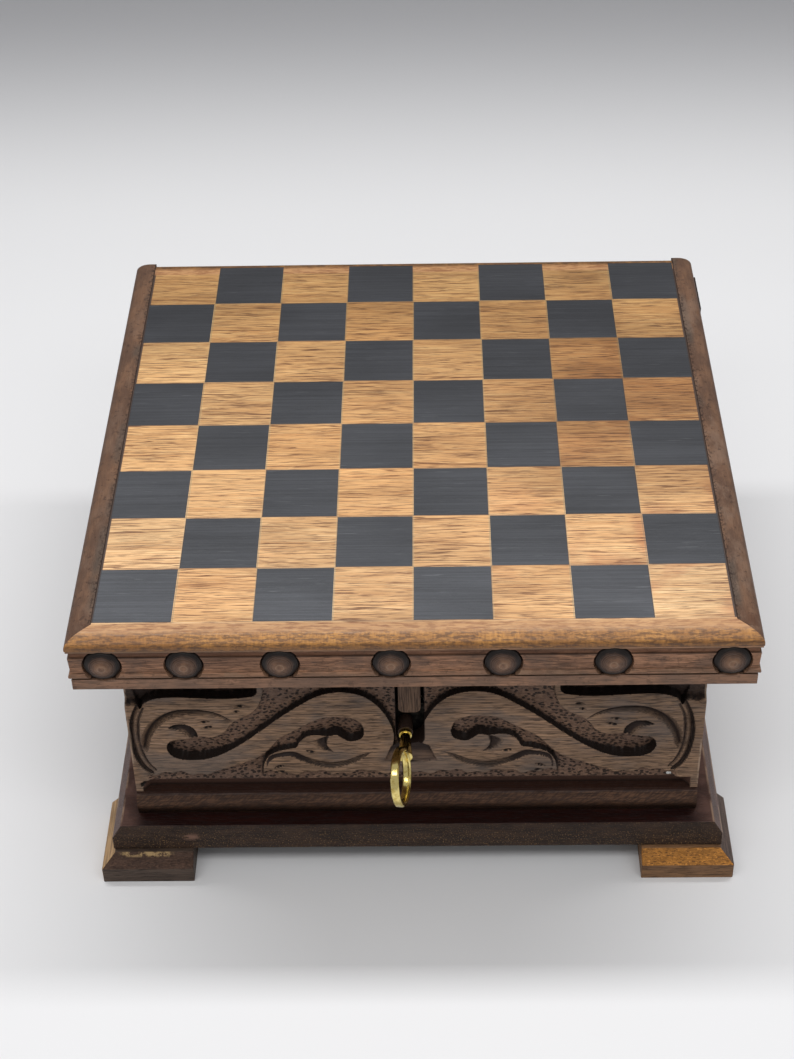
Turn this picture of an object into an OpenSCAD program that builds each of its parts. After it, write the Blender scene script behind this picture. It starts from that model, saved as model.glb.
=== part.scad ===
// Chess box with two side drawers: a chequered lid over a carved walnut case on four feet.
// Front faces -Y, +Z is up, and the origin lies on the ground under the middle of the lid.

/* [Chess board] */
// Width of one square, along X
square_w = 32; // [26:0.5:50]
// Depth of one square, along Y
square_d = 32.7; // [26:0.1:50]
// Plain margin in front of the first rank
front_margin = 10.8; // [8:0.1:20]
// Plain margin behind the last rank
rear_margin = 4; // [3:0.1:15]
// Width of the walnut strip on each side
side_strip_w = 10.2; // [8.5:0.1:20]
// Thickness of the board
board_t = 5.4; // [4.8:0.1:9]
// Depth of the inlaid dark squares
inlay_t = 0.8; // [0.5:0.1:1.6]
// Light line left between a dark square and its neighbours
line_w = 0.5; // [0.2:0.1:1]
// How far in the rounded edge begins
edge_roll_w = 7; // [4:0.5:8]
// How far down the rounded edge falls
edge_roll_h = 4.2; // [2:0.1:4.6]

/* [Lid frame] */
// Width of the frame members under the board
frame_w = 28; // [24:0.5:34]
// Height of the frame members
frame_h = 21.5; // [19:0.5:24]
// Height of the plain strip along the bottom of the frame
strip_h = 6.2; // [5:0.1:7]
// How far that strip stands back from the lip
strip_inset = 1; // [0.5:0.1:1.6]
// Thickness of the rear member above the hinge
rear_frame_t = 3.9; // [3.5:0.1:5]
// How far the fixed rear rail runs past the lid on the right
rail_overrun = 2.5; // [0.5:0.1:4]
// Diameter of the turned rosettes
rosette_d = 15.4; // [10:0.1:16]
// Height of a rosette from the bottom of its seat
rosette_h = 3.8; // [2.5:0.1:4.5]
// Depth of a rosette's seat
rosette_seat = 2.2; // [1:0.1:3]

/* [Case] */
// How far the lid hangs over the case all round
overhang = 17.2; // [14:0.1:17.5]
// Thickness of the case walls
wall_t = 10; // [8:0.5:12]
// Height of the walls above the base bead
wall_h = 77.2; // [74:0.1:110]
// Height of the rounded bead at the foot of the walls
bead_h = 12; // [10:0.5:16]
// How far the bead stands out at the front and rear
bead_out = 3; // [1:0.1:5]
// Thickness of the floor between the drawers and the compartment
floor_t = 4; // [3:0.1:6]
// Depth of the carved ground
carve_ground = 4.2; // [2:0.1:5]
// Depth of the two carved troughs
carve_trough = 3.2; // [1.5:0.1:4.5]
// Depth of the carved grooves
carve_groove = 1.8; // [0.6:0.1:2.5]
// Height of the cove at the foot of the front wall
cove_h = 6.4; // [3:0.1:8]
// Depth of that cove
cove_d = 4; // [1:0.1:5]

/* [Plate and feet] */
// Thickness of the base plate
plate_t = 14.5; // [10:0.1:20]
// How far the plate stands out of the walls on the left and right
plate_side = 11.6; // [8:0.1:14]
// How far the plate stands out of the walls at the front and rear
plate_front = 9.5; // [6:0.1:12]
// Width of the slope along the plate's left and right edges
plate_slope_w = 4.2; // [1:0.1:6]
// Height of that slope
plate_slope_h = 7.5; // [3:0.1:9]
// Length of each side of a foot
foot_size = 40; // [30:0.5:50]
// Height of a foot
foot_h = 13.2; // [10:0.1:24]
// How far a foot stands out of the walls
foot_out = 16.7; // [12:0.1:20]
// Width of the slope on the outer edges of a foot
foot_slope_w = 5.8; // [2:0.1:8]
// Height of that slope
foot_slope_h = 5.3; // [2:0.1:8]

/* [Drawers] */
// Height of a drawer front
drawer_h = 35.5; // [30:0.1:36]
// Width of the drawer box
drawer_w = 196; // [120:0.5:196.4]
// Thickness of the drawer's sides and back
drawer_wall = 6; // [4:0.5:8]
// Thickness of the drawer's bottom
drawer_bottom_t = 3; // [2:0.1:5]
// Height of the drawer's sides
drawer_side_h = 32; // [22:0.5:34]
// Depth of the grooves that hold the bottom
drawer_groove = 3; // [1:0.1:3.5]
// Gap round a drawer front
front_gap = 0.4; // [0.2:0.1:0.8]
// Running gap beside a drawer box
drawer_gap = 0.3; // [0.2:0.1:0.6]
// Diameter of the knob
knob_d = 12; // [8:0.5:16]
// How far the knob stands out
knob_out = 12.5; // [8:0.5:14]
// Diameter of the knob's tenon
knob_tenon_d = 5; // [3:0.5:6]
// Thickness of the wall between the drawers
divider_t = 6; // [4:0.5:10]
// Width of the foot of a runner
runner_w = 10; // [6:0.5:14]
// Thickness of the fence that guides a drawer box
fence_t = 2.5; // [1.5:0.1:2.6]

/* [Hinge] */
// Thickness of a hinge leaf
leaf_t = 0.8; // [0.6:0.1:1.2]
// Gap between the closed leaves
leaf_gap = 0.6; // [0.3:0.1:1]
// Width of a leaf from the rear edge of the lid
leaf_w = 13; // [10:0.5:20]
// Radius of the hinge barrel
barrel_r = 2.1; // [1.8:0.1:2.4]
// Radius of the hinge rod
rod_r = 1; // [0.6:0.05:1.2]
// Distance of the rod behind the lid
rod_back = 2.8; // [2.6:0.1:4]
// Number of knuckles
knuckles = 23; // [9:2:31]
// Number of screws in a leaf
leaf_screws = 7; // [4:1:9]

/* [Lock] */
// Left or right offset of the slot from the middle of the front
slot_x = -2.2; // [-6:0.1:6]
// Width of the slot in the front
slot_w = 12; // [11:0.1:14]
// Distance of the slot's rounded end below the lid
slot_end = 51.2; // [48:0.1:56]
// Offset of the key from the middle of the slot
key_dx = -2; // [-2.1:0.1:2.1]
// Height of the key above the slot's end
key_dz = 6.7; // [5:0.1:8]
// Width of the lid's tongue
tongue_w = 9.3; // [6:0.1:9.6]
// Length of the lid's tongue
tongue_h = 31.9; // [28:0.1:36]
// Thickness of the tongue
tongue_t = 7.8; // [5:0.1:8]
// How far the tongue lies behind the face of the front
tongue_back = 1.2; // [0.5:0.1:2]
// Radius of the plug that the key turns
plug_r = 3.2; // [3:0.1:3.4]
// How far the plug's nose lies behind the face of the front
plug_back = 2; // [1:0.1:3]
// Radius of the key's shank
shank_r = 2; // [1.6:0.05:2.2]
// Distance of the drive pin from the key's axis
pin_reach = 5; // [4.4:0.1:5.2]
// Turn of the key from unlocked to locked
key_turn = 60; // [50:5:70]
// Lean of the key's bow when unlocked
bow_lean = -8; // [-20:1:20]
// Angle between the bow and the shank of the bent key
bow_bend = 9; // [0:1:15]
// Outer diameter of the key's bow
bow_d = 25; // [18:0.5:30]
// Width of the flat band that forms the bow
bow_w = 3.6; // [2:0.1:5]
// Thickness of that band
bow_t = 1.9; // [1.5:0.1:3]
// Distance of the bow's middle from the front
bow_reach = 23.5; // [20:0.5:35]

/* [Hidden] */

// Sizes of the lid and the case. The case is as deep as the board asks for or as its drawers
// need, with the lock between the front runner and the front wall.
squares = 8;
board_w = squares * square_w;
board_d = squares * square_d;
lock_d = 7.4;
cover_t = 1;
lock_spare = 1.8;
fence_y = drawer_w / 2 + drawer_gap;
case_for_board = (front_margin + board_d + rear_margin) / 2 - overhang;
case_for_drawers = fence_y + fence_t + lock_spare + cover_t + lock_d + wall_t;
case_y = max(case_for_board, case_for_drawers);
lid_y = case_y + overhang;
lid_d = 2 * lid_y;
lid_w = board_w + 2 * side_strip_w;
lid_x = lid_w / 2;
case_x = lid_x - overhang;
inner_x = case_x - wall_t;
inner_y = case_y - wall_t;
first_rank_y = -board_d / 2 + (front_margin - rear_margin) / 2;

// Heights above the ground
plate_z = foot_h;
bead_z = plate_z + plate_t;
wall_z = bead_z + bead_h;
frame_z = wall_z + wall_h;
board_z = frame_z + frame_h;
top_z = board_z + board_t;

// Hinge: the leaves lie between the fixed rail and the lid's rear member
rear_frame_z = board_z - rear_frame_t;
rail_top = rear_frame_z - 2 * leaf_t - leaf_gap;
rod_y = lid_y + rod_back;
rod_z = rail_top + leaf_t + leaf_gap / 2;
rod_clear = 0.05;
leaf_y0 = lid_y - leaf_w;
leaf_clear = 0.4;
leaf_y1 = rod_y - barrel_r - leaf_clear;
knuckle_gap = 0.2;
leaf_end = 1;
leaf_l = lid_w - 2 * leaf_end;
knuckle_pitch = leaf_l / knuckles;
rod_end = 1.2;
frame_back = lid_y - frame_w;
frame_end_gap = 0.5;

// Slot, key and lock
key_x = slot_x + key_dx;
slot_r = slot_w / 2;
slot_low = frame_z - slot_end;
key_z = slot_low + key_dz;
plug_y = -case_y + plug_back;
run_clear = 0.05;
plug_gap = 0.3;
lock_wall = 1;
lock_y0 = -inner_y;
lock_y1 = lock_y0 + lock_d;
cam_t = 1.5;
cam_gap = 0.2;
cam_y = lock_y0 + lock_wall + cam_gap;
pin_r = 1;
pin_gap = 0.15;
cam_rim = 0.4;
cam_r = pin_reach + pin_r + cam_rim;
bolt_rise = 11.2;
bolt_y = cam_y + cam_t + 0.3;
bolt_t = 2;
bolt_z = key_z + cam_r + bolt_rise;
bolt_h = 3.5;
bolt_l = 18;
bolt_gap = 0.1;
guide_t = 1;
bolt_travel = 2 * pin_reach * sin(key_turn / 2);
link_t = 2;
link_x = slot_x;
link_wall = 0.9;
eye_gap_y = 0.5;
eye_gap_z = 0.6;
link_y0 = bolt_y - eye_gap_y - link_wall;
link_y1 = lock_y1 - 0.6;
link_z = key_z + cam_r + 4;
bolt_tip = link_x + link_t / 2 + 1.3;
tail_w = 7;
riser_x = link_x + link_t / 2 + bolt_travel + 0.5;
riser_w = 3.5;
key_in = cam_y - plug_y + 0.8;
keyway_w = 1.8;
bit_w = 1.6;
bit_r = plug_r - 0.2;
screw_clear = 0.03;

// Drawers
window_w = drawer_w + 2 * (drawer_gap + front_gap) - 0.1;
drawer_z = wall_z + front_gap;
divider_gap = 0.5;
drawer_end = divider_t / 2 + divider_gap;
drawer_l = inner_x - drawer_end;
floor_z = drawer_z + max(drawer_h, drawer_side_h) + front_gap;
knob_z = drawer_z + drawer_h / 2;
bottom_up = 3;
finger_z = drawer_z + bottom_up + drawer_bottom_t;
fingers = 4;
finger_h = (drawer_z + drawer_side_h - finger_z) / fingers;
tongue_in = 3;
side_tongue_t = drawer_wall / 2;

// Rosettes: an even row, with the small drifts of handwork
rosette_count = 7;
rosette_end = 13;
rosette_drift = [1, -8, -11.4, -9, -6.2, -4.1, 1.2];
side_rosettes = 6;
rosette_drop = 1.15;
rosette_z = board_z - rosette_drop - rosette_d / 2;
rosette_rim = 0.4;

// Colours of the materials
walnut = [0.42, 0.30, 0.22];
dark_walnut = [0.30, 0.19, 0.13];
mahogany = [0.33, 0.15, 0.10];
golden = [0.72, 0.45, 0.22];
charcoal = [0.27, 0.28, 0.31];
birch = [0.78, 0.64, 0.45];
brass = [0.83, 0.69, 0.33];
steel = [0.66, 0.66, 0.68];

// ---------- Curves and helpers ----------

// Points on an elliptical arc from angle a0 to a1
function arc(cx, cy, rx, ry, a0, a1, n) =
    [for (i = [0:n]) let (a = a0 + (a1 - a0) * i / n) [cx + rx * cos(a), cy + ry * sin(a)]];

// One point of the smooth curve that passes through b and c
function curve_point(a, b, c, d, t) =
    0.5 * ((2 * b) + (c - a) * t + (2 * a - 5 * b + 4 * c - d) * t * t
        + (3 * b - a - 3 * c + d) * t * t * t);

// A closed smooth outline through the points p, with n steps between two points
function closed_curve(p, n) =
    [for (i = [0:len(p) - 1], j = [0:n - 1]) let (m = len(p))
        curve_point(p[(i + m - 1) % m], p[i], p[(i + 1) % m], p[(i + 2) % m], j / n)];

// An open smooth line through the points p
function open_curve(p, n) = let (m = len(p))
    concat([for (i = [0:m - 2], j = [0:n - 1])
        curve_point(p[max(i - 1, 0)], p[i], p[i + 1], p[min(i + 2, m - 1)], j / n)], [p[m - 1]]);

// Unit vector square to the line c at its point i
function side_of(c, i) = let (v = c[min(i + 1, len(c) - 1)] - c[max(i - 1, 0)])
    [-v[1], v[0]] / norm(v);

// Half width of a gouge cut at t from 0 to 1: pointed at both ends
function gouge(t, w) = w / 2 * (0.12 + 0.88 * pow(sin(180 * t), 0.6));

// Outline of a gouge cut of width w along the points p
function stroke(p, w, n) = let (c = open_curve(p, n), m = len(c) - 1)
    concat([for (i = [0:m]) c[i] + side_of(c, i) * gouge(i / m, w)],
        [for (i = [m:-1:0]) c[i] - side_of(c, i) * gouge(i / m, w)]);

// A profile drawn in Y and Z, extruded along X
module along_x(length) {
    translate([-length / 2, 0, 0])
        rotate([90, 0, 90])
            linear_extrude(length)
                children();
}

// A profile drawn in X and Z, extruded along Y
module along_y(length) {
    translate([0, length / 2, 0])
        rotate([90, 0, 0])
            linear_extrude(length)
                children();
}

// A block from its lowest and highest corner
module block(low, high) {
    translate(low)
        cube(high - low);
}

// A cylinder along +Y
module rod_y_axis(pos, r, length, fn = 48) {
    translate(pos)
        rotate([-90, 0, 0])
            cylinder(h = length, r = r, $fn = fn);
}

// A countersunk screw, its head at the origin and its shank along -Z
module screw(length, head_r, r, head_h) {
    difference() {
        union() {
            translate([0, 0, -head_h])
                cylinder(h = head_h, r1 = r, r2 = head_r, $fn = 24);
            translate([0, 0, -length])
                cylinder(h = length - head_h, r = r, $fn = 24);
        }
        translate([-head_r, -0.25, -0.3])
            cube([2 * head_r, 0.5, 1]);
    }
}

// The hole that such a screw sits in
module screw_hole(length, head_r, r, head_h) {
    translate([0, 0, -head_h])
        cylinder(h = head_h, r1 = r + screw_clear, r2 = head_r + screw_clear, $fn = 24);
    translate([0, 0, -length])
        cylinder(h = length, r = r + screw_clear, $fn = 24);
}

// ---------- Carving ----------

// The carving is drawn on a field as wide as half the front, x outwards from its middle
field_w = 121;
field_h = 79.2;

// Trough that falls from the top edge to a round eye near the corner
upper_trough = [[64, 70.5], [64.5, 60.5], [65.5, 50], [74, 45], [79, 38.5], [88, 33], [98, 31.5],
    [104.5, 29], [105.5, 24.5], [99, 19.5], [91, 20], [82, 26.3], [71.3, 35.8], [60.5, 45.7],
    [49, 53.7], [37, 59], [27, 61.5], [24, 70.5]];

// Trough that climbs from the bottom edge to a round eye near the slot
lower_trough = [[84, 9.5], [75, 17.7], [65, 27.3], [55, 36.2], [45.5, 43.2], [35.5, 45],
    [26.4, 43], [21.7, 37], [24, 30.5], [29.5, 30.7], [36.5, 32], [42, 31.5], [48, 30.5],
    [52, 25.5], [58.5, 24], [64.5, 18], [66, 9.5]];

// Deep ground above the outer and the inner lobe
outer_ground = [[113, 56], [106, 56.8], [97, 56.6], [87, 55.2], [77, 55], [66, 57],
    [64.5, 64], [66, 71], [90, 72.5], [112, 70], [116, 62]];
inner_ground = [[37, 61], [29, 58.6], [22.5, 55.8], [17, 52.8], [12.5, 54], [10.5, 62],
    [13, 71], [24, 72]];

// Gouge cuts: the outer border, the inner arc, the volute beside the slot and the leaf
border_cut = [[112, 52.5], [117, 44.5], [119, 37], [119, 30], [118, 20], [114.5, 12]];
arc_cut = [[77.5, 44], [82.5, 46.5], [88, 47.6], [94.5, 47], [102, 44.5], [109, 38.5],
    [113, 32.5], [115.7, 26]];
volute_cut = [[18, 56], [12.5, 48.5], [9.5, 42], [8.8, 35], [9.8, 28], [12.5, 20.5]];
leaf_cut = [[56, 24.5], [50.5, 21.5], [46, 17.5], [41, 15.6], [35.5, 15.8], [30, 17.3],
    [24, 20], [17.5, 23.5]];
leaf_stem = [[64.5, 14], [63.5, 20], [59, 23.6], [52, 24.8]];
comma_cut = [[104, 38.5], [100, 39.8], [95.5, 39.3], [94.8, 34.5]];
thorn_cut = [[42, 30], [38.5, 27.5], [36.5, 25], [33.5, 23]];

// Half of the hollow under the slot
slot_hollow = [[-1, 24], [5, 23], [9.5, 20], [12, 16.5], [6, 14.5], [-1, 14]];

// Scales the field to a face of half width w and height h
function fit(p, w, h) = [for (q = p) [q[0] * w / field_w, q[1] * h / field_h]];

// Cuts one half of the carving, into +Y from the plane y = 0
module carve_cut(outline, depth) {
    translate([0, depth, 0])
        rotate([90, 0, 0])
            linear_extrude(depth + 1)
                polygon(outline);
}

module half_carving(w, h) {
    steps = 3;
    k = min(w / field_w, h / field_h);
    carve_cut(closed_curve(fit(upper_trough, w, h), steps), carve_trough);
    carve_cut(closed_curve(fit(lower_trough, w, h), steps), carve_trough);
    carve_cut(closed_curve(fit(outer_ground, w, h), steps), carve_ground);
    carve_cut(closed_curve(fit(inner_ground, w, h), steps), carve_ground);
    carve_cut(stroke(fit(border_cut, w, h), 3 * k, steps), carve_groove);
    carve_cut(stroke(fit(arc_cut, w, h), 2.2 * k, steps), carve_groove);
    carve_cut(stroke(fit(volute_cut, w, h), 3.2 * k, steps), carve_groove);
    carve_cut(stroke(fit(leaf_cut, w, h), 4 * k, steps), carve_groove);
    carve_cut(stroke(fit(leaf_stem, w, h), 2.4 * k, steps), carve_groove);
    carve_cut(stroke(fit(comma_cut, w, h), 2.6 * k, steps), carve_groove);
    carve_cut(stroke(fit(thorn_cut, w, h), 2.8 * k, steps), carve_groove);
}

module carving(w, h) {
    half_carving(w, h);
    mirror([1, 0, 0])
        half_carving(w, h);
}

// ---------- Base ----------

module base_plate() {
    px = case_x + plate_side;
    py = case_y + plate_front;
    color(mahogany)
        along_y(2 * py)
            polygon([[-px, plate_z], [px, plate_z], [px, bead_z - plate_slope_h],
                [px - plate_slope_w, bead_z], [-px + plate_slope_w, bead_z],
                [-px, bead_z - plate_slope_h]]);
}

// A foot in the corner at +X and +Y, sloped along its two outer edges
module foot(sx, sy) {
    fx = case_x + foot_out;
    fy = case_y + foot_out;
    color(golden)
        scale_sign(sx, sy)
            intersection() {
                translate([fx - foot_size, 0, 0])
                    along_foot(fy, [0, 1])
                        foot_profile();
                translate([0, fy - foot_size, 0])
                    along_foot(fx, [1, 0])
                        foot_profile();
            }
}

module foot_profile() {
    polygon([[0, 0], [foot_size, 0], [foot_size, foot_h - foot_slope_h],
        [foot_size - foot_slope_w, foot_h], [0, foot_h]]);
}

// Extrudes the foot's profile along Y or along X, up to the given edge
module along_foot(edge, axis) {
    if (axis[1] == 1)
        translate([0, edge, 0])
            rotate([90, 0, 0])
                linear_extrude(foot_size)
                    children();
    else
        translate([edge - foot_size, 0, 0])
            rotate([90, 0, 90])
                linear_extrude(foot_size)
                    children();
}

// Mirrors into the quarter given by two signs
module scale_sign(sx, sy) {
    mirror([sx < 0 ? 1 : 0, 0, 0])
        mirror([0, sy < 0 ? 1 : 0, 0])
            children();
}

module front_left_foot() { foot(-1, -1); }
module front_right_foot() { foot(1, -1); }
module rear_left_foot() { foot(-1, 1); }
module rear_right_foot() { foot(1, 1); }

// Section of the bead, standing out of the wall to the positive side of edge
module bead_profile(edge) {
    polygon(concat([[edge - wall_t, bead_z], [edge + bead_out * 0.5, bead_z]],
        arc(edge, bead_z + bead_h * 0.48, bead_out, bead_h * 0.48, -60, 90, 10),
        [[edge, wall_z], [edge - wall_t, wall_z]]));
}

// Plan of one mitred side of a border of width w, on a rectangle of half sizes x and y
module mitre_front(x, y, w, z0, z1) {
    translate([0, 0, z0])
        linear_extrude(z1 - z0)
            polygon([[-x, -y], [x, -y], [x - w, -y + w], [-x + w, -y + w]]);
}

module mitre_side(x, y, w, z0, z1) {
    translate([0, 0, z0])
        linear_extrude(z1 - z0)
            polygon([[x, -y], [x, y], [x - w, y - w], [x - w, -y + w]]);
}

// Front or rear bead, cut off flush with the sides of the case
module bead_long(sy) {
    color(walnut)
        mirror([0, sy > 0 ? 1 : 0, 0])
            intersection() {
                mirror([0, 1, 0])
                    along_x(2 * case_x)
                        bead_profile(case_y);
                translate([0, 0, bead_z])
                    linear_extrude(bead_h)
                        polygon([[-case_x, -case_y - bead_out], [case_x, -case_y - bead_out],
                            [case_x, -case_y], [inner_x, -inner_y], [-inner_x, -inner_y],
                            [-case_x, -case_y]]);
            }
}

// Plain rail between the beads, flush with the side wall above it
module bead_short(sx) {
    color(walnut)
        mirror([sx < 0 ? 1 : 0, 0, 0])
            mitre_side(case_x, case_y, wall_t, bead_z, wall_z);
}

module front_bead() { bead_long(-1); }
module rear_bead() { bead_long(1); }
module left_bead() { bead_short(-1); }
module right_bead() { bead_short(1); }

// ---------- Walls ----------

module slot_cut() {
    translate([slot_x, -inner_y + 1, 0])
        rotate([90, 0, 0])
            linear_extrude(wall_t + 2) {
                translate([0, slot_low + slot_r])
                    circle(r = slot_r, $fn = 48);
                translate([-slot_r, slot_low + slot_r])
                    square([slot_w, frame_z - slot_low]);
            }
}

// Shallow hollow under the slot, between the lower ends of the two volutes
module slot_hollow_cut() {
    for (side = [0, 1])
        translate([slot_x, -case_y, wall_z])
            mirror([side, 0, 0])
                carve_cut(closed_curve(fit(slot_hollow, case_x, wall_h), 3), carve_groove);
}

// Quarter-round cove above the bead, short of both ends of the wall
module front_cove() {
    cove_end = 3;
    mirror([0, 1, 0])
        along_x(2 * (case_x - cove_end))
            polygon(concat([[case_y + 1, wall_z - 1], [case_y - cove_d, wall_z - 1]],
                arc(case_y, wall_z, cove_d, cove_h, 180, 90, 8),
                [[case_y + 1, wall_z + cove_h]]));
}

module front_panel() {
    color(walnut)
        difference() {
            block([-case_x, -case_y, wall_z], [case_x, -inner_y, frame_z]);
            translate([0, -case_y, wall_z])
                carving(case_x, wall_h);
            front_cove();
            slot_hollow_cut();
            slot_cut();
            rod_y_axis([key_x, -case_y - 1, key_z], plug_r + plug_gap, wall_t + 2);
            at_lock_screws()
                screw_hole(lock_screw_l, 1.9, 1, lock_wall);
        }
}

module rear_panel() {
    color(walnut)
        block([-case_x, inner_y, wall_z], [case_x, case_y, frame_z]);
}

// A carved side wall before the drawer's window is cut
module carved_side() {
    difference() {
        block([inner_x, -inner_y, wall_z], [case_x, inner_y, frame_z]);
        translate([case_x, 0, wall_z])
            rotate([0, 0, 90])
                carving(inner_y, wall_h);
    }
}

module side_panel(sx) {
    color(walnut)
        mirror([sx < 0 ? 1 : 0, 0, 0])
            difference() {
                carved_side();
                block([inner_x - 1, -window_w / 2, wall_z - 1], [case_x + 1, window_w / 2, floor_z]);
            }
}

module left_side_panel() { side_panel(-1); }
module right_side_panel() { side_panel(1); }

module compartment_floor() {
    notch = 0.5;
    color(birch)
        difference() {
            block([-inner_x, -inner_y, floor_z], [inner_x, inner_y, floor_z + floor_t]);
            block([lock_x0 - notch, -inner_y - 1, floor_z - 1],
                [lock_x1 + notch, lock_y1 + cover_t + notch, floor_z + floor_t + 1]);
        }
}

module drawer_divider() {
    low_y = fence_y - runner_w;
    color(birch)
        along_x(divider_t)
            polygon([[-low_y, bead_z], [low_y, bead_z], [low_y, drawer_z], [fence_y, drawer_z],
                [fence_y, floor_z], [-fence_y, floor_z], [-fence_y, drawer_z], [-low_y, drawer_z]]);
}

// L-shaped runner: the drawer box slides on its foot and along its fence
module runner(sy) {
    color(birch)
        mirror([0, sy < 0 ? 1 : 0, 0])
            along_x(2 * inner_x)
                polygon([[fence_y - runner_w, bead_z], [fence_y + fence_t, bead_z],
                    [fence_y + fence_t, floor_z], [fence_y, floor_z], [fence_y, drawer_z],
                    [fence_y - runner_w, drawer_z]]);
}

module front_runner() { runner(-1); }
module rear_runner() { runner(1); }

// Fixed rail on top of the rear wall: it carries the hinge and shows at both ends
module rear_rail() {
    color(dark_walnut)
        difference() {
            union() {
                block([-lid_x, frame_back, frame_z + strip_h], [lid_x + rail_overrun, lid_y, rail_top]);
                block([-lid_x + strip_inset, frame_back, frame_z],
                    [lid_x - strip_inset, lid_y - strip_inset, frame_z + strip_h]);
            }
            at_leaf_screws()
                translate([0, 0, rail_top + leaf_t])
                    screw_hole(leaf_screw_l, 1.9, 0.9, leaf_t);
        }
}

// ---------- Hinge ----------

leaf_screw_l = 7;

module at_leaf_screws() {
    pitch = leaf_l / leaf_screws;
    for (i = [0:leaf_screws - 1])
        translate([-leaf_l / 2 + (i + 0.5) * pitch, (leaf_y0 + leaf_y1) / 2, 0])
            children();
}

// One leaf with every second knuckle; first is 0 or 1
module leaf(z0, first) {
    difference() {
        union() {
            block([-leaf_l / 2, leaf_y0, z0], [leaf_l / 2, leaf_y1, z0 + leaf_t]);
            for (i = [first:2:knuckles - 1]) {
                x0 = -leaf_l / 2 + i * knuckle_pitch + knuckle_gap / 2;
                x1 = x0 + knuckle_pitch - knuckle_gap;
                block([x0, leaf_y1 - 0.5, z0], [x1, rod_y, z0 + leaf_t]);
                translate([x0, rod_y, rod_z])
                    rotate([0, 90, 0])
                        cylinder(h = x1 - x0, r = barrel_r, $fn = 36);
            }
        }
        translate([-lid_x, rod_y, rod_z])
            rotate([0, 90, 0])
                cylinder(h = lid_w, r = rod_r + rod_clear, $fn = 36);
        children();
    }
}

module lower_hinge_leaf() {
    color(brass)
        leaf(rail_top, 0)
            at_leaf_screws()
                translate([0, 0, rail_top + leaf_t])
                    screw_hole(leaf_screw_l, 1.9, 0.9, leaf_t);
}

module upper_hinge_leaf() {
    color(brass)
        leaf(rear_frame_z - leaf_t, 1)
            at_leaf_screws()
                translate([0, 0, rear_frame_z - leaf_t])
                    rotate([180, 0, 0])
                        screw_hole(leaf_screw_l, 1.9, 0.9, leaf_t);
}

module hinge_rod() {
    color(steel)
        translate([-leaf_l / 2, rod_y, rod_z])
            rotate([0, 90, 0])
                cylinder(h = leaf_l / 2 + lid_x + rod_end, r = rod_r, $fn = 36);
}

module lower_leaf_screws() {
    color(brass)
        at_leaf_screws()
            translate([0, 0, rail_top + leaf_t])
                screw(leaf_screw_l, 1.9, 0.9, leaf_t);
}

module upper_leaf_screws() {
    color(brass)
        at_leaf_screws()
            translate([0, 0, rear_frame_z - leaf_t])
                rotate([180, 0, 0])
                    screw(leaf_screw_l, 1.9, 0.9, leaf_t);
}

// ---------- Lock ----------

lock_screw_l = 12;
lock_x0 = key_x - cam_r - 8.4;
lock_x1 = bolt_tip + bolt_l + 3;
lock_z0 = key_z - cam_r - 6;
lock_z1 = bolt_z + bolt_h + 6.5;
lock_screw_in = 2.6;

// Four screws along -Y, with their heads on the cover
module at_lock_screws() {
    for (x = [lock_x0 + lock_screw_in, lock_x1 - lock_screw_in],
            z = [lock_z0 + lock_screw_in, lock_z1 - lock_screw_in])
        translate([x, lock_y1 + cover_t, z])
            rotate([-90, 0, 0])
                children();
}

// Open box against the inside of the front, with a bushing for the plug
module lock_case() {
    post = 2.4;
    color(brass)
        difference() {
            union() {
                difference() {
                    block([lock_x0, lock_y0, lock_z0], [lock_x1, lock_y1, lock_z1]);
                    block([lock_x0 + lock_wall, lock_y0 + lock_wall, lock_z0 + lock_wall],
                        [lock_x1 - lock_wall, lock_y1 + 1, lock_z1 - lock_wall]);
                }
                for (x = [lock_x0 + lock_screw_in, lock_x1 - lock_screw_in],
                        z = [lock_z0 + lock_screw_in, lock_z1 - lock_screw_in])
                    rod_y_axis([x, lock_y0, z], post, lock_d, 32);
            }
            rod_y_axis([key_x, lock_y0 - 1, key_z], plug_r + run_clear, lock_wall + 2);
            block([slot_x - slot_r, lock_y0 - 1, slot_low + slot_w + 4],
                [slot_x + slot_r, lock_y1 + 1, lock_z1 + 1]);
            at_lock_screws()
                screw_hole(lock_screw_l, 1.9, 1, lock_wall);
        }
}

// Rear plate of the lock with the bolt's guide
module lock_cover() {
    guide_x0 = riser_x + riser_w + 0.4;
    guide_x1 = lock_x1 - lock_wall - 1.5;
    guide_z0 = bolt_z - bolt_gap;
    guide_z1 = bolt_z + bolt_h + bolt_gap;
    color(brass)
        difference() {
            union() {
                block([lock_x0, lock_y1, lock_z0], [lock_x1, lock_y1 + cover_t, lock_z1]);
                difference() {
                    block([guide_x0, bolt_y, guide_z0 - guide_t], [guide_x1, lock_y1, guide_z1 + guide_t]);
                    block([guide_x0 - 1, bolt_y - 1, guide_z0],
                        [guide_x1 + 1, bolt_y + bolt_t + bolt_gap, guide_z1]);
                }
            }
            rod_y_axis([key_x, lock_y1 - 1, key_z], shank_r + run_clear, cover_t + 2);
            at_lock_screws()
                screw_hole(lock_screw_l, 1.9, 1, cover_t);
        }
}

module lock_screws() {
    color(brass)
        at_lock_screws()
            screw(lock_screw_l, 1.9, 1, cover_t);
}

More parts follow.
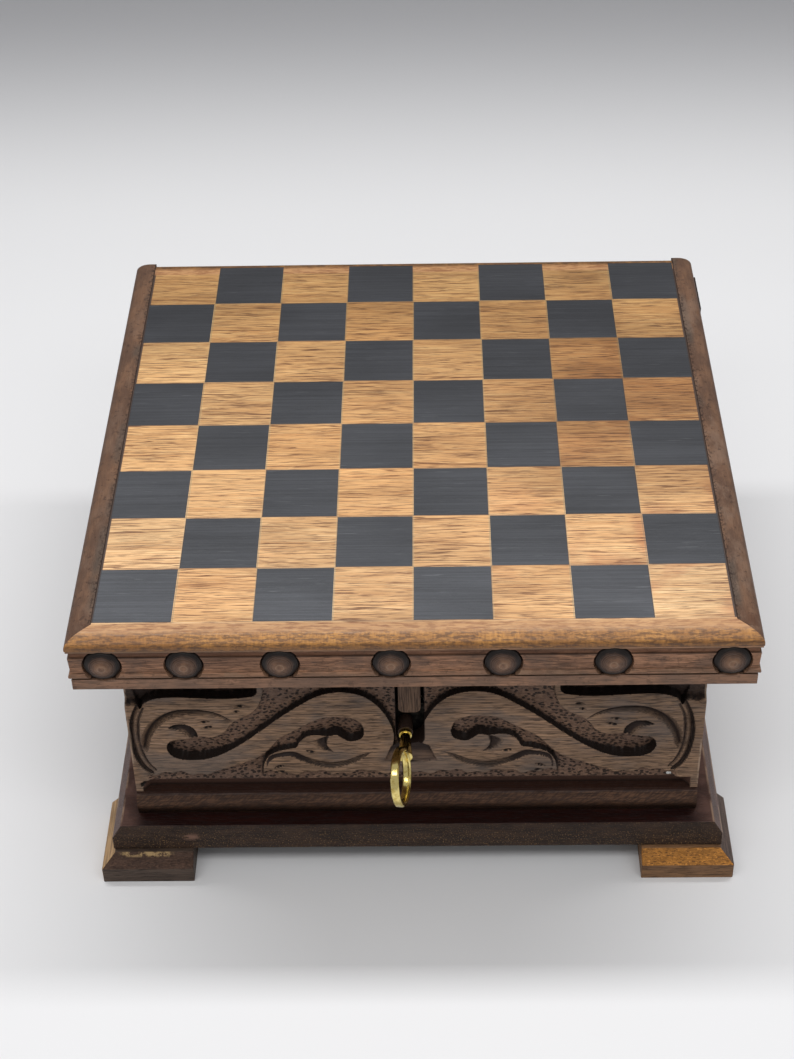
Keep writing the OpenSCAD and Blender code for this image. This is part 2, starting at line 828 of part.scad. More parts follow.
// Plug: nose with the keyway, cam disc with the drive pin, and rear journal
module lock_plug() {
    color(dark_walnut)
        difference() {
            union() {
                rod_y_axis([key_x, plug_y, key_z], plug_r, cam_y - plug_y);
                rod_y_axis([key_x, cam_y, key_z], cam_r, cam_t);
                rod_y_axis([key_x, cam_y, key_z], shank_r, lock_y1 + cover_t - cam_y);
                translate([key_x, 0, key_z])
                    rotate([0, key_turn / 2, 0])
                        rod_y_axis([0, cam_y, pin_reach], pin_r, bolt_y + bolt_t - cam_y, 24);
            }
            rod_y_axis([key_x, plug_y - 1, key_z], shank_r + run_clear, key_in + 1.2);
            translate([key_x, 0, key_z])
                rotate([0, bow_lean, 0])
                    block([-keyway_w / 2, plug_y - 1, -plug_r - 1], [keyway_w / 2, plug_y + key_in + 0.2, 0]);
        }
}

// Bolt: a bar that slides along -X, and a forked foot astride the drive pin.
// The riser between them stays beside the link over the whole travel.
module lock_bolt() {
    pin_x = key_x + pin_reach * sin(key_turn / 2);
    tail_z = key_z + shank_r + 0.5;
    tail_top = link_z - 1;
    color(steel)
        difference() {
            union() {
                block([bolt_tip, bolt_y, bolt_z], [bolt_tip + bolt_l, bolt_y + bolt_t, bolt_z + bolt_h]);
                block([pin_x - tail_w / 2, bolt_y, tail_z],
                    [riser_x + riser_w, bolt_y + bolt_t, tail_top]);
                block([riser_x, bolt_y, tail_z],
                    [riser_x + riser_w, bolt_y + bolt_t, bolt_z + bolt_h]);
            }
            block([pin_x - pin_r - pin_gap, bolt_y - 1, tail_z - 1],
                [pin_x + pin_r + pin_gap, bolt_y + bolt_t + 1, key_z + pin_reach + pin_r + pin_gap]);
        }
}

// Key: ring bow, neck, collar and shank with a bit
// The bow is a flat ring, swung a little to one side of the shank by a bend in the neck
module key() {
    bow_r = (bow_d - bow_t) / 2;
    collar_r = 2.7;
    collar_t = 1.8;
    neck_end = -case_y - bow_reach + bow_r;
    ease = 0.6;
    color(brass)
        translate([key_x, 0, key_z])
            rotate([0, bow_lean, 0])
                union() {
                    translate([0, neck_end, 0])
                        rotate([0, 0, -bow_bend])
                            translate([0, -bow_r, 0])
                                rotate([0, 90, 0])
                                    rotate_extrude($fn = 64)
                                        translate([bow_r, 0])
                                            polygon([[-bow_t / 2, -bow_w / 2 + ease],
                                                [-bow_t / 2 + ease, -bow_w / 2],
                                                [bow_t / 2 - ease, -bow_w / 2],
                                                [bow_t / 2, -bow_w / 2 + ease],
                                                [bow_t / 2, bow_w / 2 - ease],
                                                [bow_t / 2 - ease, bow_w / 2],
                                                [-bow_t / 2 + ease, bow_w / 2],
                                                [-bow_t / 2, bow_w / 2 - ease]]);
                    translate([0, neck_end - 0.4, 0])
                        rotate([-90, 0, 0])
                            cylinder(h = plug_y - collar_t - neck_end + 0.6, r1 = 3, r2 = 2.1, $fn = 32);
                    rod_y_axis([0, plug_y - collar_t, 0], collar_r, collar_t, 32);
                    rod_y_axis([0, plug_y - 0.5, 0], shank_r, key_in + 0.5, 32);
                    block([-bit_w / 2, plug_y + key_in - 3, -bit_r], [bit_w / 2, plug_y + key_in, 0]);
                }
}

// ---------- Lid ----------

module board_panel() {
    roll = arc(0, board_z + board_t - edge_roll_h, edge_roll_w, edge_roll_h, 0, 90, 10);
    rear_r = rear_margin - 0.5;
    color(golden)
        difference() {
            intersection() {
                along_x(lid_w)
                    polygon(concat([[-lid_y, board_z]],
                        [for (q = roll) [-lid_y + edge_roll_w - q[0], q[1]]],
                        arc(lid_y - rear_r, top_z - rear_r, rear_r, rear_r, 90, 0, 8),
                        [[lid_y, board_z]]));
                translate([0, 0, board_z])
                    linear_extrude(board_t)
                        polygon([[-lid_x, -lid_y], [lid_x, -lid_y],
                            [lid_x - side_strip_w, -lid_y + side_strip_w], [lid_x - side_strip_w, lid_y],
                            [-lid_x + side_strip_w, lid_y], [-lid_x + side_strip_w, -lid_y + side_strip_w]]);
            }
            squares_pattern(1);
            at_leaf_screws()
                translate([0, 0, rear_frame_z - leaf_t])
                    rotate([180, 0, 0])
                        screw_hole(leaf_screw_l, 1.9, 0.9, leaf_t);
        }
}

// The 32 dark squares; the corner at the front left is dark
module squares_pattern(over) {
    for (i = [0:squares - 1], j = [0:squares - 1])
        if ((i + j) % 2 == 0)
            block([-board_w / 2 + i * square_w + line_w / 2,
                    first_rank_y + j * square_d + line_w / 2, top_z - inlay_t],
                [-board_w / 2 + (i + 1) * square_w - line_w / 2,
                    first_rank_y + (j + 1) * square_d - line_w / 2, top_z + over]);
}

module dark_squares() {
    color(charcoal)
        squares_pattern(0);
}

module edge_strip(sx) {
    roll = arc(lid_x - edge_roll_w, board_z + board_t - edge_roll_h, edge_roll_w, edge_roll_h, 90, 0, 10);
    color(dark_walnut)
        mirror([sx < 0 ? 1 : 0, 0, 0])
            intersection() {
                along_y(lid_d)
                    polygon(concat([[lid_x - side_strip_w, board_z], [lid_x - side_strip_w, top_z]],
                        roll, [[lid_x, board_z]]));
                translate([0, 0, board_z])
                    linear_extrude(board_t)
                        polygon([[lid_x, -lid_y], [lid_x, lid_y], [lid_x - side_strip_w, lid_y],
                            [lid_x - side_strip_w, -lid_y + side_strip_w]]);
            }
}

module left_edge_strip() { edge_strip(-1); }
module right_edge_strip() { edge_strip(1); }

// Section of a frame member from its foot: plain strip, groove, small bead, band, step, notch
// and the lip under the board
module frame_profile(edge) {
    groove_h = 0.9;
    groove_back = 1.9;
    bead_back = 1.1;
    bead_r = 1.3;
    band_back = 0.7;
    step_h = 2.6;
    step_back = 1.4;
    notch_h = 0.5;
    lip_h = 1.2;
    lip_back = 0.3;
    band_z = frame_z + strip_h;
    notch_z = board_z - lip_h - notch_h;
    polygon(concat([[edge - frame_w, frame_z], [edge - strip_inset, frame_z],
            [edge - strip_inset, band_z - groove_h], [edge - groove_back, band_z - groove_h],
            [edge - groove_back, band_z]],
        arc(edge - bead_back, band_z + bead_r, bead_back - 0.1, bead_r, -90, 90, 8),
        [[edge - band_back, notch_z - step_h], [edge - step_back, notch_z - step_h],
            [edge - step_back, notch_z], [edge - groove_back, notch_z],
            [edge - groove_back, board_z - lip_h], [edge - lip_back, board_z - lip_h],
            [edge - lip_back, board_z], [edge - frame_w, board_z]]));
}

// A round seat for a rosette, in the plane y = 0 and into +Y
module rosette_hole() {
    rod_y_axis([0, -3, 0], rosette_d / 2 + rosette_rim, rosette_seat + 3);
}

// Turned rosette: a straight rim, a dome with three fine rings and a small button
module rosette() {
    r = rosette_d / 2;
    h = rosette_h;
    translate([0, rosette_seat, 0])
        rotate([90, 0, 0])
            rotate_extrude($fn = 64)
                polygon(concat([[0, 0], [r, 0]],
                    arc(r * 0.78, h * 0.62, r * 0.22, h * 0.2, 0, 80, 5),
                    [[r * 0.7, h * 0.84], [r * 0.67, h * 0.8], [r * 0.64, h * 0.87],
                        [r * 0.5, h * 0.93], [r * 0.47, h * 0.88], [r * 0.44, h * 0.95],
                        [r * 0.32, h * 0.97], [r * 0.29, h * 0.88], [r * 0.24, h * 0.86],
                        [r * 0.2, h * 0.98], [r * 0.1, h], [0, h * 0.97]]));
}

module at_front_rosettes() {
    pitch = (lid_w - 2 * rosette_end) / (rosette_count - 1);
    for (i = [0:rosette_count - 1])
        translate([-lid_x + rosette_end + i * pitch + rosette_drift[i], -lid_y + 0.4, rosette_z])
            children();
}

module at_side_rosettes() {
    pitch = (frame_back + lid_y - 2 * rosette_end) / (side_rosettes - 1);
    for (i = [0:side_rosettes - 1])
        translate([lid_x - 0.4, -lid_y + rosette_end + i * pitch, rosette_z])
            rotate([0, 0, 90])
                children();
}

module front_frame() {
    color(walnut)
        difference() {
            intersection() {
                mirror([0, 1, 0])
                    along_x(lid_w)
                        frame_profile(lid_y);
                mitre_front(lid_x, lid_y, frame_w, frame_z, board_z);
            }
            at_front_rosettes()
                rosette_hole();
            block([link_x - link_flange_w / 2, link_seat_y, frame_z - 1],
                [link_x + link_flange_w / 2, -lid_y + frame_w + 1, link_flange_z + link_flange_h]);
            at_link_screws()
                screw_hole(link_screw_l, 1.9, 0.9, link_flange);
        }
}

module side_frame(sx) {
    color(walnut)
        mirror([sx < 0 ? 1 : 0, 0, 0])
            difference() {
                intersection() {
                    along_y(lid_d)
                        frame_profile(lid_x);
                    translate([0, 0, frame_z])
                        linear_extrude(frame_h)
                            polygon([[lid_x, -lid_y], [lid_x, frame_back - frame_end_gap],
                                [lid_x - frame_w, frame_back - frame_end_gap],
                                [lid_x - frame_w, -lid_y + frame_w]]);
                }
                at_side_rosettes()
                    rosette_hole();
            }
}

module left_frame() { side_frame(-1); }
module right_frame() { side_frame(1); }

module rear_frame() {
    color(walnut)
        difference() {
            block([-lid_x + strip_inset, frame_back - frame_end_gap, rear_frame_z],
                [lid_x - strip_inset, lid_y - strip_inset, board_z]);
            at_leaf_screws()
                translate([0, 0, rear_frame_z - leaf_t])
                    rotate([180, 0, 0])
                        screw_hole(leaf_screw_l, 1.9, 0.9, leaf_t);
        }
}

module front_rosettes() {
    color(walnut)
        at_front_rosettes()
            rosette();
}

module side_rosette_row(sx) {
    color(walnut)
        mirror([sx < 0 ? 1 : 0, 0, 0])
            at_side_rosettes()
                rosette();
}

module left_rosettes() { side_rosette_row(-1); }
module right_rosettes() { side_rosette_row(1); }

// Wooden tongue under the lid; it drops into the slot
module lid_tongue() {
    r = 2.6;
    low = frame_z - tongue_h;
    color(walnut)
        translate([slot_x - 0.1, -case_y + tongue_back + tongue_t, 0])
            rotate([90, 0, 0])
                linear_extrude(tongue_t)
                    polygon(concat([[tongue_w / 2, frame_z], [-tongue_w / 2, frame_z]],
                        arc(-tongue_w / 2 + r, low + r, r, r, 180, 270, 6),
                        arc(tongue_w / 2 - r, low + r, r, r, 270, 360, 6)));
}

link_flange = 1;
link_screw_l = 9;
link_flange_w = 17;
link_flange_z = frame_z + 2;
link_flange_h = 11;
link_flange_y = link_y0 + 0.2;
link_seat_y = min(-lid_y + frame_w, link_flange_y - link_flange);

module at_link_screws() {
    for (sx = [-1, 1])
        translate([link_x + sx * link_flange_w * 0.32, link_flange_y, link_flange_z + link_flange_h / 2])
            rotate([-90, 0, 0])
                children();
}

// Link: a flange on the inside of the lid's frame and an eye that the bolt passes through
module lock_link() {
    color(brass)
        difference() {
            union() {
                block([link_x - link_flange_w / 2, link_seat_y, link_flange_z],
                    [link_x + link_flange_w / 2, link_flange_y, link_flange_z + link_flange_h]);
                block([link_x - link_t / 2, link_y0, link_z],
                    [link_x + link_t / 2, link_y1, link_flange_z + link_flange_h]);
            }
            block([link_x - link_t, bolt_y - eye_gap_y, bolt_z - eye_gap_z],
                [link_x + link_t, bolt_y + bolt_t + eye_gap_y, bolt_z + bolt_h + eye_gap_z]);
            at_link_screws()
                screw_hole(link_screw_l, 1.9, 0.9, link_flange);
        }
}

module link_screws() {
    color(brass)
        at_link_screws()
            screw(link_screw_l, 1.9, 0.9, link_flange);
}

// ---------- Drawers ----------

module on_side(sx) {
    mirror([sx < 0 ? 1 : 0, 0, 0])
        children();
}

module drawer_front(sx) {
    y = window_w / 2 - front_gap;
    color(walnut)
        on_side(sx)
            difference() {
                intersection() {
                    carved_side();
                    block([inner_x, -y, drawer_z], [case_x + 1, y, drawer_z + drawer_h]);
                }
                knob_hole();
                for (sy = [-1, 1])
                    mirror([0, sy < 0 ? 1 : 0, 0])
                        side_tongue(drawer_z);
                block([inner_x - 1, -drawer_w / 2 + drawer_wall - drawer_groove, drawer_z + bottom_up],
                    [inner_x + tongue_in, drawer_w / 2 - drawer_wall + drawer_groove, finger_z]);
            }
}

// Tongue at the front end of a drawer side, and the groove for it in the drawer front
module side_tongue(z0) {
    block([inner_x - 1, drawer_w / 2 - drawer_wall, z0],
        [inner_x + tongue_in, drawer_w / 2 - drawer_wall + side_tongue_t, drawer_z + drawer_side_h]);
}

// The fingers of a drawer's back that reach through its side
module back_fingers() {
    for (i = [1:2:fingers - 1])
        block([drawer_end, drawer_w / 2 - drawer_wall - 0.01, finger_z + i * finger_h],
            [drawer_end + drawer_wall, drawer_w / 2, finger_z + (i + 1) * finger_h]);
}

module knob_hole() {
    translate([case_x - wall_t + 1, 0, knob_z])
        rotate([0, 90, 0])
            cylinder(h = wall_t, r = knob_tenon_d / 2 + screw_clear, $fn = 32);
}

// Two sides, each with a groove for the bottom, a front tongue and notches for the back's fingers
module drawer_sides(sx) {
    color(birch)
        on_side(sx)
            for (sy = [-1, 1])
                mirror([0, sy < 0 ? 1 : 0, 0])
                    difference() {
                        union() {
                            block([drawer_end, drawer_w / 2 - drawer_wall, drawer_z],
                                [inner_x, drawer_w / 2, drawer_z + drawer_side_h]);
                            side_tongue(drawer_z);
                        }
                        block([drawer_end - 1, drawer_w / 2 - drawer_wall - 1, drawer_z + bottom_up],
                            [inner_x + tongue_in + 1, drawer_w / 2 - drawer_wall + drawer_groove, finger_z]);
                        back_fingers();
                    }
}

module drawer_back(sx) {
    y = drawer_w / 2 - drawer_wall;
    color(birch)
        on_side(sx)
            union() {
                block([drawer_end, -y, finger_z], [drawer_end + drawer_wall, y, drawer_z + drawer_side_h]);
                for (sy = [-1, 1])
                    mirror([0, sy < 0 ? 1 : 0, 0])
                        back_fingers();
            }
}

module drawer_bottom(sx) {
    y = drawer_w / 2 - drawer_wall + drawer_groove;
    color(birch)
        on_side(sx)
            block([drawer_end, -y, drawer_z + bottom_up], [inner_x + tongue_in, y, finger_z]);
}

// Turned knob with a tenon in the drawer front
module drawer_knob(sx) {
    r = knob_d / 2;
    neck = r * 0.5;
    color(dark_walnut)
        on_side(sx)
            translate([case_x, 0, knob_z])
                rotate([0, 90, 0])
                    union() {
                        translate([0, 0, -wall_t + 1.5])
                            cylinder(h = wall_t, r = knob_tenon_d / 2, $fn = 32);
                        rotate_extrude($fn = 48)
                            polygon(concat([[0, 0], [r * 0.72, 0], [r * 0.72, 1]],
                                arc(r * 0.72 + 0.4, knob_out * 0.32, r * 0.72 + 0.4 - neck, knob_out * 0.22, 250, 120, 6),
                                arc(0, knob_out * 0.68, r, knob_out * 0.32, -20, 90, 10)));
                    }
}

module left_drawer_front() { drawer_front(-1); }
module left_drawer_sides() { drawer_sides(-1); }
module left_drawer_back() { drawer_back(-1); }
module left_drawer_bottom() { drawer_bottom(-1); }
module left_drawer_knob() { drawer_knob(-1); }
module right_drawer_front() { drawer_front(1); }
module right_drawer_sides() { drawer_sides(1); }
module right_drawer_back() { drawer_back(1); }
module right_drawer_bottom() { drawer_bottom(1); }
module right_drawer_knob() { drawer_knob(1); }

base_plate();
front_left_foot();
front_right_foot();
rear_left_foot();
rear_right_foot();
front_bead();
rear_bead();
left_bead();
right_bead();
front_panel();
rear_panel();
left_side_panel();
right_side_panel();
compartment_floor();
drawer_divider();
front_runner();
rear_runner();
rear_rail();
lower_hinge_leaf();
hinge_rod();
lower_leaf_screws();
lock_case();
lock_cover();
lock_screws();
lock_plug();
lock_bolt();
key();
board_panel();
dark_squares();
left_edge_strip();
right_edge_strip();
front_frame();
left_frame();
right_frame();
rear_frame();
front_rosettes();
left_rosettes();
right_rosettes();
upper_hinge_leaf();
upper_leaf_screws();
lid_tongue();
lock_link();
link_screws();
left_drawer_front();
left_drawer_sides();
left_drawer_back();
left_drawer_bottom();
left_drawer_knob();
right_drawer_front();
right_drawer_sides();
right_drawer_back();
right_drawer_bottom();
right_drawer_knob();
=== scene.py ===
# %% [markdown]
# # A carved chess box with two drawers
# The box is walnut: a chequered lid with a moulded frame and turned rosettes, carved walls, a base plate
# and four block feet. The solids come from the CAD model. This lesson dresses them: it carves the walls
# in relief, turns the rosettes, and gives every piece the wood or metal that it is made of.

# %% The frame
import math

import bmesh
import bpy
import numpy as np
from mathutils import Matrix, Vector


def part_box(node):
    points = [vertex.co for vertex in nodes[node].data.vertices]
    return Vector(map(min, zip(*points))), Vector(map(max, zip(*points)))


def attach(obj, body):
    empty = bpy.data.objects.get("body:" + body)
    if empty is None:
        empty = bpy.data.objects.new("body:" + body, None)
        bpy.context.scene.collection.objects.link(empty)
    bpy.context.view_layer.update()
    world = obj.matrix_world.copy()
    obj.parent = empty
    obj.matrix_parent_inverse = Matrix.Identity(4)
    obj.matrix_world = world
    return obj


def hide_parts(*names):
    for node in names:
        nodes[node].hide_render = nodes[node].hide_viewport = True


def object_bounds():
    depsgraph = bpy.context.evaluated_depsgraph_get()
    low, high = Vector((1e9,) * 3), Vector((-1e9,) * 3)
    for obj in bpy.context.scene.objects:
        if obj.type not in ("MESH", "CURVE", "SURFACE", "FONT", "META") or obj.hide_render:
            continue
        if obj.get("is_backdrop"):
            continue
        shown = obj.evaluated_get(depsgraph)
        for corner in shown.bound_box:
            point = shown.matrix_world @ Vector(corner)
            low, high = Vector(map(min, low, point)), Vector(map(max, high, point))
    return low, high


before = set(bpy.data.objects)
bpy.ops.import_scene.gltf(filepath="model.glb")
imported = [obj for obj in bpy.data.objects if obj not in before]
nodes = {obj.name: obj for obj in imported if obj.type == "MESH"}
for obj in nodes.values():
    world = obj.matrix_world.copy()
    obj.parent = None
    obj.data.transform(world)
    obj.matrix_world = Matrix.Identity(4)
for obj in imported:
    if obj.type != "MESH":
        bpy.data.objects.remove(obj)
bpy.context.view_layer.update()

scene = bpy.context.scene
MM = 0.001


def mm_of(node):
    """The lowest and highest corner of a node in mm."""
    return [[c * 1000 for c in corner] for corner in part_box(node)]


# %% [markdown]
# ## Camera
# The camera stands in front of the box, looks down at it at about 40 degrees and leans a little. A long lens
# keeps the sides of the box nearly straight. The three directions of the view are written as a matrix, so
# that the lean doesn't depend on the order of three angles.

# %% Camera
CAMERA_PLACE = (0.00738, -0.71984, 0.68222)
LENS_MM, SENSOR_MM = 68.6, 36
pitch, yaw, lean = 0.692449, -0.021763, -0.023970
ahead = Vector((math.sin(yaw) * math.cos(pitch), math.cos(yaw) * math.cos(pitch), -math.sin(pitch)))
level = Vector((math.cos(yaw), -math.sin(yaw), 0))
upward = level.cross(ahead)
right = level * math.cos(lean) + upward * math.sin(lean)
up = -level * math.sin(lean) + upward * math.cos(lean)

lens = bpy.data.cameras.new("camera")
lens.sensor_fit = "VERTICAL"
lens.sensor_width = lens.sensor_height = SENSOR_MM
lens.lens = LENS_MM
lens.clip_start, lens.clip_end = 0.01, 50
camera = bpy.data.objects.new("camera", lens)
scene.collection.objects.link(camera)
rows = [(*row, place) for row, place in zip(zip(right, up, -ahead), CAMERA_PLACE)]
camera.matrix_world = Matrix(rows + [(0, 0, 0, 1)])
scene.camera = camera
scene.view_settings.view_transform = "Standard"
print("camera looks down", round(math.degrees(pitch), 1), "degrees")

# %% [markdown]
# ## Building materials from nodes
# A material here is a small graph. A short class keeps the graphs readable: it holds the output of a node, and
# arithmetic on it adds the nodes that work the sum out. A few helpers add a node, turn a range into a mask,
# and lay coats of colour over each other. Where a helper takes a value, it may also be a plain number.

# %% Helpers for node graphs
class Value:
    """A number, vector or colour that a node gives. Arithmetic on it adds nodes."""

    def __init__(self, socket):
        self.socket, self.tree = socket, socket.id_data

    def __add__(self, other):
        return calc("ADD", self, other)

    def __sub__(self, other):
        return calc("SUBTRACT", self, other)

    def __rsub__(self, other):
        return calc("SUBTRACT", other, self)

    def __mul__(self, other):
        return calc("MULTIPLY", self, other)

    def __gt__(self, other):
        return calc("GREATER_THAN", self, other)

    def __abs__(self):
        return calc("ABSOLUTE", self)


def fill(socket, value):
    """Links a value to an input, or sets the input to a number, a vector or a colour."""
    if isinstance(value, Value):
        value.tree.links.new(value.socket, socket)
    else:
        socket.default_value = (*value, 1) if socket.type == "RGBA" else value


def new_node(tree, kind, **settings):
    """Adds a node. A setting is a property of the node if it has one of that name, or else an input."""
    node = tree.nodes.new(kind)
    for name, value in settings.items():
        if name in node.bl_rna.properties:
            setattr(node, name, value)
        else:
            fill(node.inputs[name], value)
    return node


def put(tree, kind, output=0, **settings):
    """Adds a node and gives one of its outputs."""
    return Value(new_node(tree, kind, **settings).outputs[output])


def calc(operation, a, b=0.0, kind="ShaderNodeMath", output=0, **settings):
    """Arithmetic on two numbers or, with another kind of node, on two vectors."""
    node = new_node((a if isinstance(a, Value) else b).tree, kind, operation=operation, **settings)
    fill(node.inputs[0], a)
    if b is not None:
        fill(node.inputs[1], b)
    return Value(node.outputs[output])


def span(value, low, high, out_low=0.0, out_high=1.0):
    """Turns the range low..high into out_low..out_high, with a smooth start and end."""
    node = new_node(value.tree, "ShaderNodeMapRange", interpolation_type="SMOOTHSTEP", Value=value)
    for name, limit in (("From Min", low), ("From Max", high), ("To Min", out_low), ("To Max", out_high)):
        fill(node.inputs[name], limit)
    return Value(node.outputs["Result"])


def band(value, low, high, soft=0.15):
    """1 where a place lies between low and high, in mm, with soft ends."""
    start = span(value, (low - soft) * MM, (low + soft) * MM)
    return start * span(value, (high - soft) * MM, (high + soft) * MM, 1.0, 0.0)


def tint(mask, a, b, how="MIX"):
    """Colour a where the mask is 0 and b where it is 1."""
    tree = next(value.tree for value in (mask, a, b) if isinstance(value, Value))
    node = new_node(tree, "ShaderNodeMix", data_type="RGBA", blend_type=how)
    for name, value in (("Factor", mask), ("A", a), ("B", b)):
        fill(node.inputs[name], value)
    return Value(node.outputs["Result"])


def coats(colour, *layers):
    """Lays coats over a colour, one after another. A layer is a mask, a colour and, at will, how they mix."""
    for mask, coat, *how in layers:
        colour = tint(mask, colour, coat, *how)
    return colour


def shaded(colour, brightness):
    """The colour times a brightness."""
    grey = put(colour.tree, "ShaderNodeCombineColor", Red=brightness, Green=brightness, Blue=brightness)
    return tint(1.0, colour, grey, "MULTIPLY")


def stretched(vector, scale, move=(0, 0, 0), turn=(0, 0, 0)):
    """The vector moved, turned and scaled by a Mapping node."""
    return put(vector.tree, "ShaderNodeMapping", Vector=vector, Scale=scale, Location=move, Rotation=turn)


def noise(vector, scale, detail=3, roughness=0.55, move=(0, 0, 0)):
    """A noise with its repeats a metre, either the same each way or one number each for x, y and z."""
    place = stretched(vector, scale if isinstance(scale, tuple) else (scale,) * 3, move)
    return put(vector.tree, "ShaderNodeTexNoise", "Fac", Vector=place, Scale=1.0, Detail=detail, Roughness=roughness)


def cloud(vector, scale, low, high, *settings):
    """A mask that is 0 where a noise is under low and 1 where it is over high."""
    return span(noise(vector, scale, *settings), low, high)


def cells(place, scale, **settings):
    """The distance from the middle of the nearest cell, and a number that is the cell's own."""
    node = new_node(place.tree, "ShaderNodeTexVoronoi", Vector=place, Scale=scale, **settings)
    own = put(place.tree, "ShaderNodeSeparateColor", Color=Value(node.outputs["Color"]))
    return Value(node.outputs["Distance"]), own


def painted(place, name):
    """A number that is stored on the mesh."""
    return put(place.tree, "ShaderNodeAttribute", "Fac", attribute_name=name)


def xyz(place):
    """The three coordinates of a place."""
    return [Value(output) for output in new_node(place.tree, "ShaderNodeSeparateXYZ", Vector=place).outputs]


def relief(height, deep, strength=1.0):
    """A normal for a height whose full range is so many mm deep."""
    return put(height.tree, "ShaderNodeBump", Strength=strength, Distance=deep * MM, Height=height)


def give(sockets, values):
    """Fills several inputs, each by its name."""
    for name, value in values.items():
        fill(sockets[name], value)


def new_group(name, inputs, outputs):
    """An empty node group: the group, its inputs as values, and the sockets of its output."""
    tree = bpy.data.node_groups.new(name, "ShaderNodeTree")
    for side, labels in (("INPUT", inputs), ("OUTPUT", outputs)):
        for label in labels:
            kind = "NodeSocketVector" if label == "Vector" else "NodeSocketFloat"
            tree.interface.new_socket(label, in_out=side, socket_type=kind)
    given = tree.nodes.new("NodeGroupInput").outputs
    return tree, [Value(given[label]) for label in inputs], tree.nodes.new("NodeGroupOutput").inputs


def use(group, **values):
    """Places a group in a material's graph and gives its outputs."""
    node = new_node(values["Vector"].tree, "ShaderNodeGroup", node_tree=group)
    give(node.inputs, values)
    return {output.name: Value(output) for output in node.outputs}


def new_material(name):
    """An empty material: the material, the place on its object, and the inputs of its shader."""
    material = bpy.data.materials.new(name)
    material.use_nodes = True
    place = put(material.node_tree, "ShaderNodeTexCoord", "Object")
    return material, place, material.node_tree.nodes["Principled BSDF"].inputs


# %% [markdown]
# ## Wood grain
# Sawn wood shows several things at once: long fibres less than a millimetre wide, short dark pores, lighter
# streaks between them, and broad bands of lighter and darker growth. Each is a noise stretched along the
# grain by its own amount. The thin dark lines are where a slow noise passes its middle value, as contour lines
# on a map, because they have to be crisp. All are made once, as a group with the grain along X, and each wood
# uses them with its own colours. A weak slow noise bends the grain, so that it wanders as in real timber.

# %% Grain group
grain, (straight, waviness), grain_out = new_group(
    "wood grain", ["Vector", "Waviness"], ["Fibre", "Pores", "Lines", "Streaks", "Bands", "Blotches"])
VECTORS = "ShaderNodeVectorMath"
bend = put(grain, "ShaderNodeTexNoise", "Color", Vector=stretched(straight, (22, 60, 60)), Scale=1.0, Detail=3)
centred = calc("SUBTRACT", bend, (0.5, 0.5, 0.5), VECTORS)
line = calc("ADD", straight, calc("SCALE", centred, None, VECTORS, Scale=waviness), VECTORS)
ridge = abs(noise(line, (26, 560, 560), 2.5, 0.5, (3.1, 6.7, 1.2)) - 0.5)
give(grain_out, {
    "Fibre": noise(line, (45, 1900, 1900), 5, 0.64),
    "Pores": cloud(line, (130, 2300, 2300), 0.53, 0.61, 3, 0.55, (0.3, 0.7, 0.2)),
    "Streaks": cloud(line, (50, 2100, 2100), 0.52, 0.64, 3, 0.6, (5.3, 2.7, 8.2)),
    "Lines": span(ridge, 0.006, 0.030, 1.0, 0.0) * cloud(line, (60, 260, 260), 0.40, 0.54, 3, 0.6, (8.1, 0.7, 4.2)),
    "Bands": noise(line, (7, 150, 150), 3, 0.5, (0.9, 0.1, 0.4)),
    "Blotches": noise(line, (16, 34, 34), 2, 0.5, (0.2, 0.5, 0.8))})
print("grain group:", len(grain.nodes), "nodes")

# %% [markdown]
# ## Wear
# A handled box has rubbed patches, dark flecks where the polish is chipped or full of grime, and a few pale
# specks of dust. All are thresholds on noise, so one small group gives the three masks.

# %% Wear group
wear, (spot,), wear_out = new_group("wear", ["Vector"], ["Rubbed", "Flecks", "Dust"])
from_middle, own = cells(spot, 60)
give(wear_out, {
    "Rubbed": cloud(spot, 90, 0.52, 0.62, 7, 0.7),
    "Flecks": cloud(spot, 420, 0.60, 0.66, 3, 0.6, (3, 1, 2)),
    "Dust": (own > 0.93) * span(from_middle, 0.016, 0.03, 1.0, 0.0)})
print("wear group:", len(wear.nodes), "nodes")

# %% [markdown]
# ## A wood
# A wood has three colours, for its light and dark growth and its pores, and four shares, for how much of the
# fibres, bands, pores and thin lines shows. What is special to one piece comes from a finish, a function that
# is given the place on the piece and the plain wood's colour, and gives back the colour that is seen.

# %% Wood
ALONG = {"x": (0, 0, 0), "y": (0, 0, math.radians(90)), "z": (0, math.radians(90), 0)}
woods = {}


def wood(name, colours, shares=(0.5, 0.5, 0.5, 0.4), streak=None, rough=0.5, deep=0.06, along="x",
         waviness=0.003, specular=0.2, fine=1.0, long=1.0, finish=None):
    """streak is the colour of light streaks, deep the depth of the grain in mm, fine makes the grain smaller
    and long makes its strokes longer."""
    light, dark, pore = colours
    fibre, bands, pores, thin = shares
    woods[name], place, shader = new_material(name)
    sizes = [fine / long if axis == along else fine for axis in "xyz"]
    lines = use(grain, Vector=stretched(place, sizes, turn=ALONG[along]), Waviness=waviness)
    fibres, broad = span(lines["Fibre"], 0.36, 0.64), span(lines["Bands"], 0.32, 0.68)
    colour = tint((fibres * fibre + broad * bands) * (1 / (fibre + bands)), light, dark)
    if streak is not None:
        colour = tint(lines["Streaks"], colour, streak)
    colour = coats(colour, (lines["Pores"] * pores, pore), (lines["Lines"] * thin, pore))
    colour = shaded(colour, span(lines["Blotches"], 0.3, 0.7, 0.82, 1.15))
    give(shader, {"Base Color": finish(place, colour) if finish else colour,
                  "Roughness": span(lines["Fibre"], 0.3, 0.7, rough - 0.06, rough + 0.08),
                  "Normal": relief(fibres * 0.5 - lines["Pores"], deep),
                  "Specular IOR Level": specular})


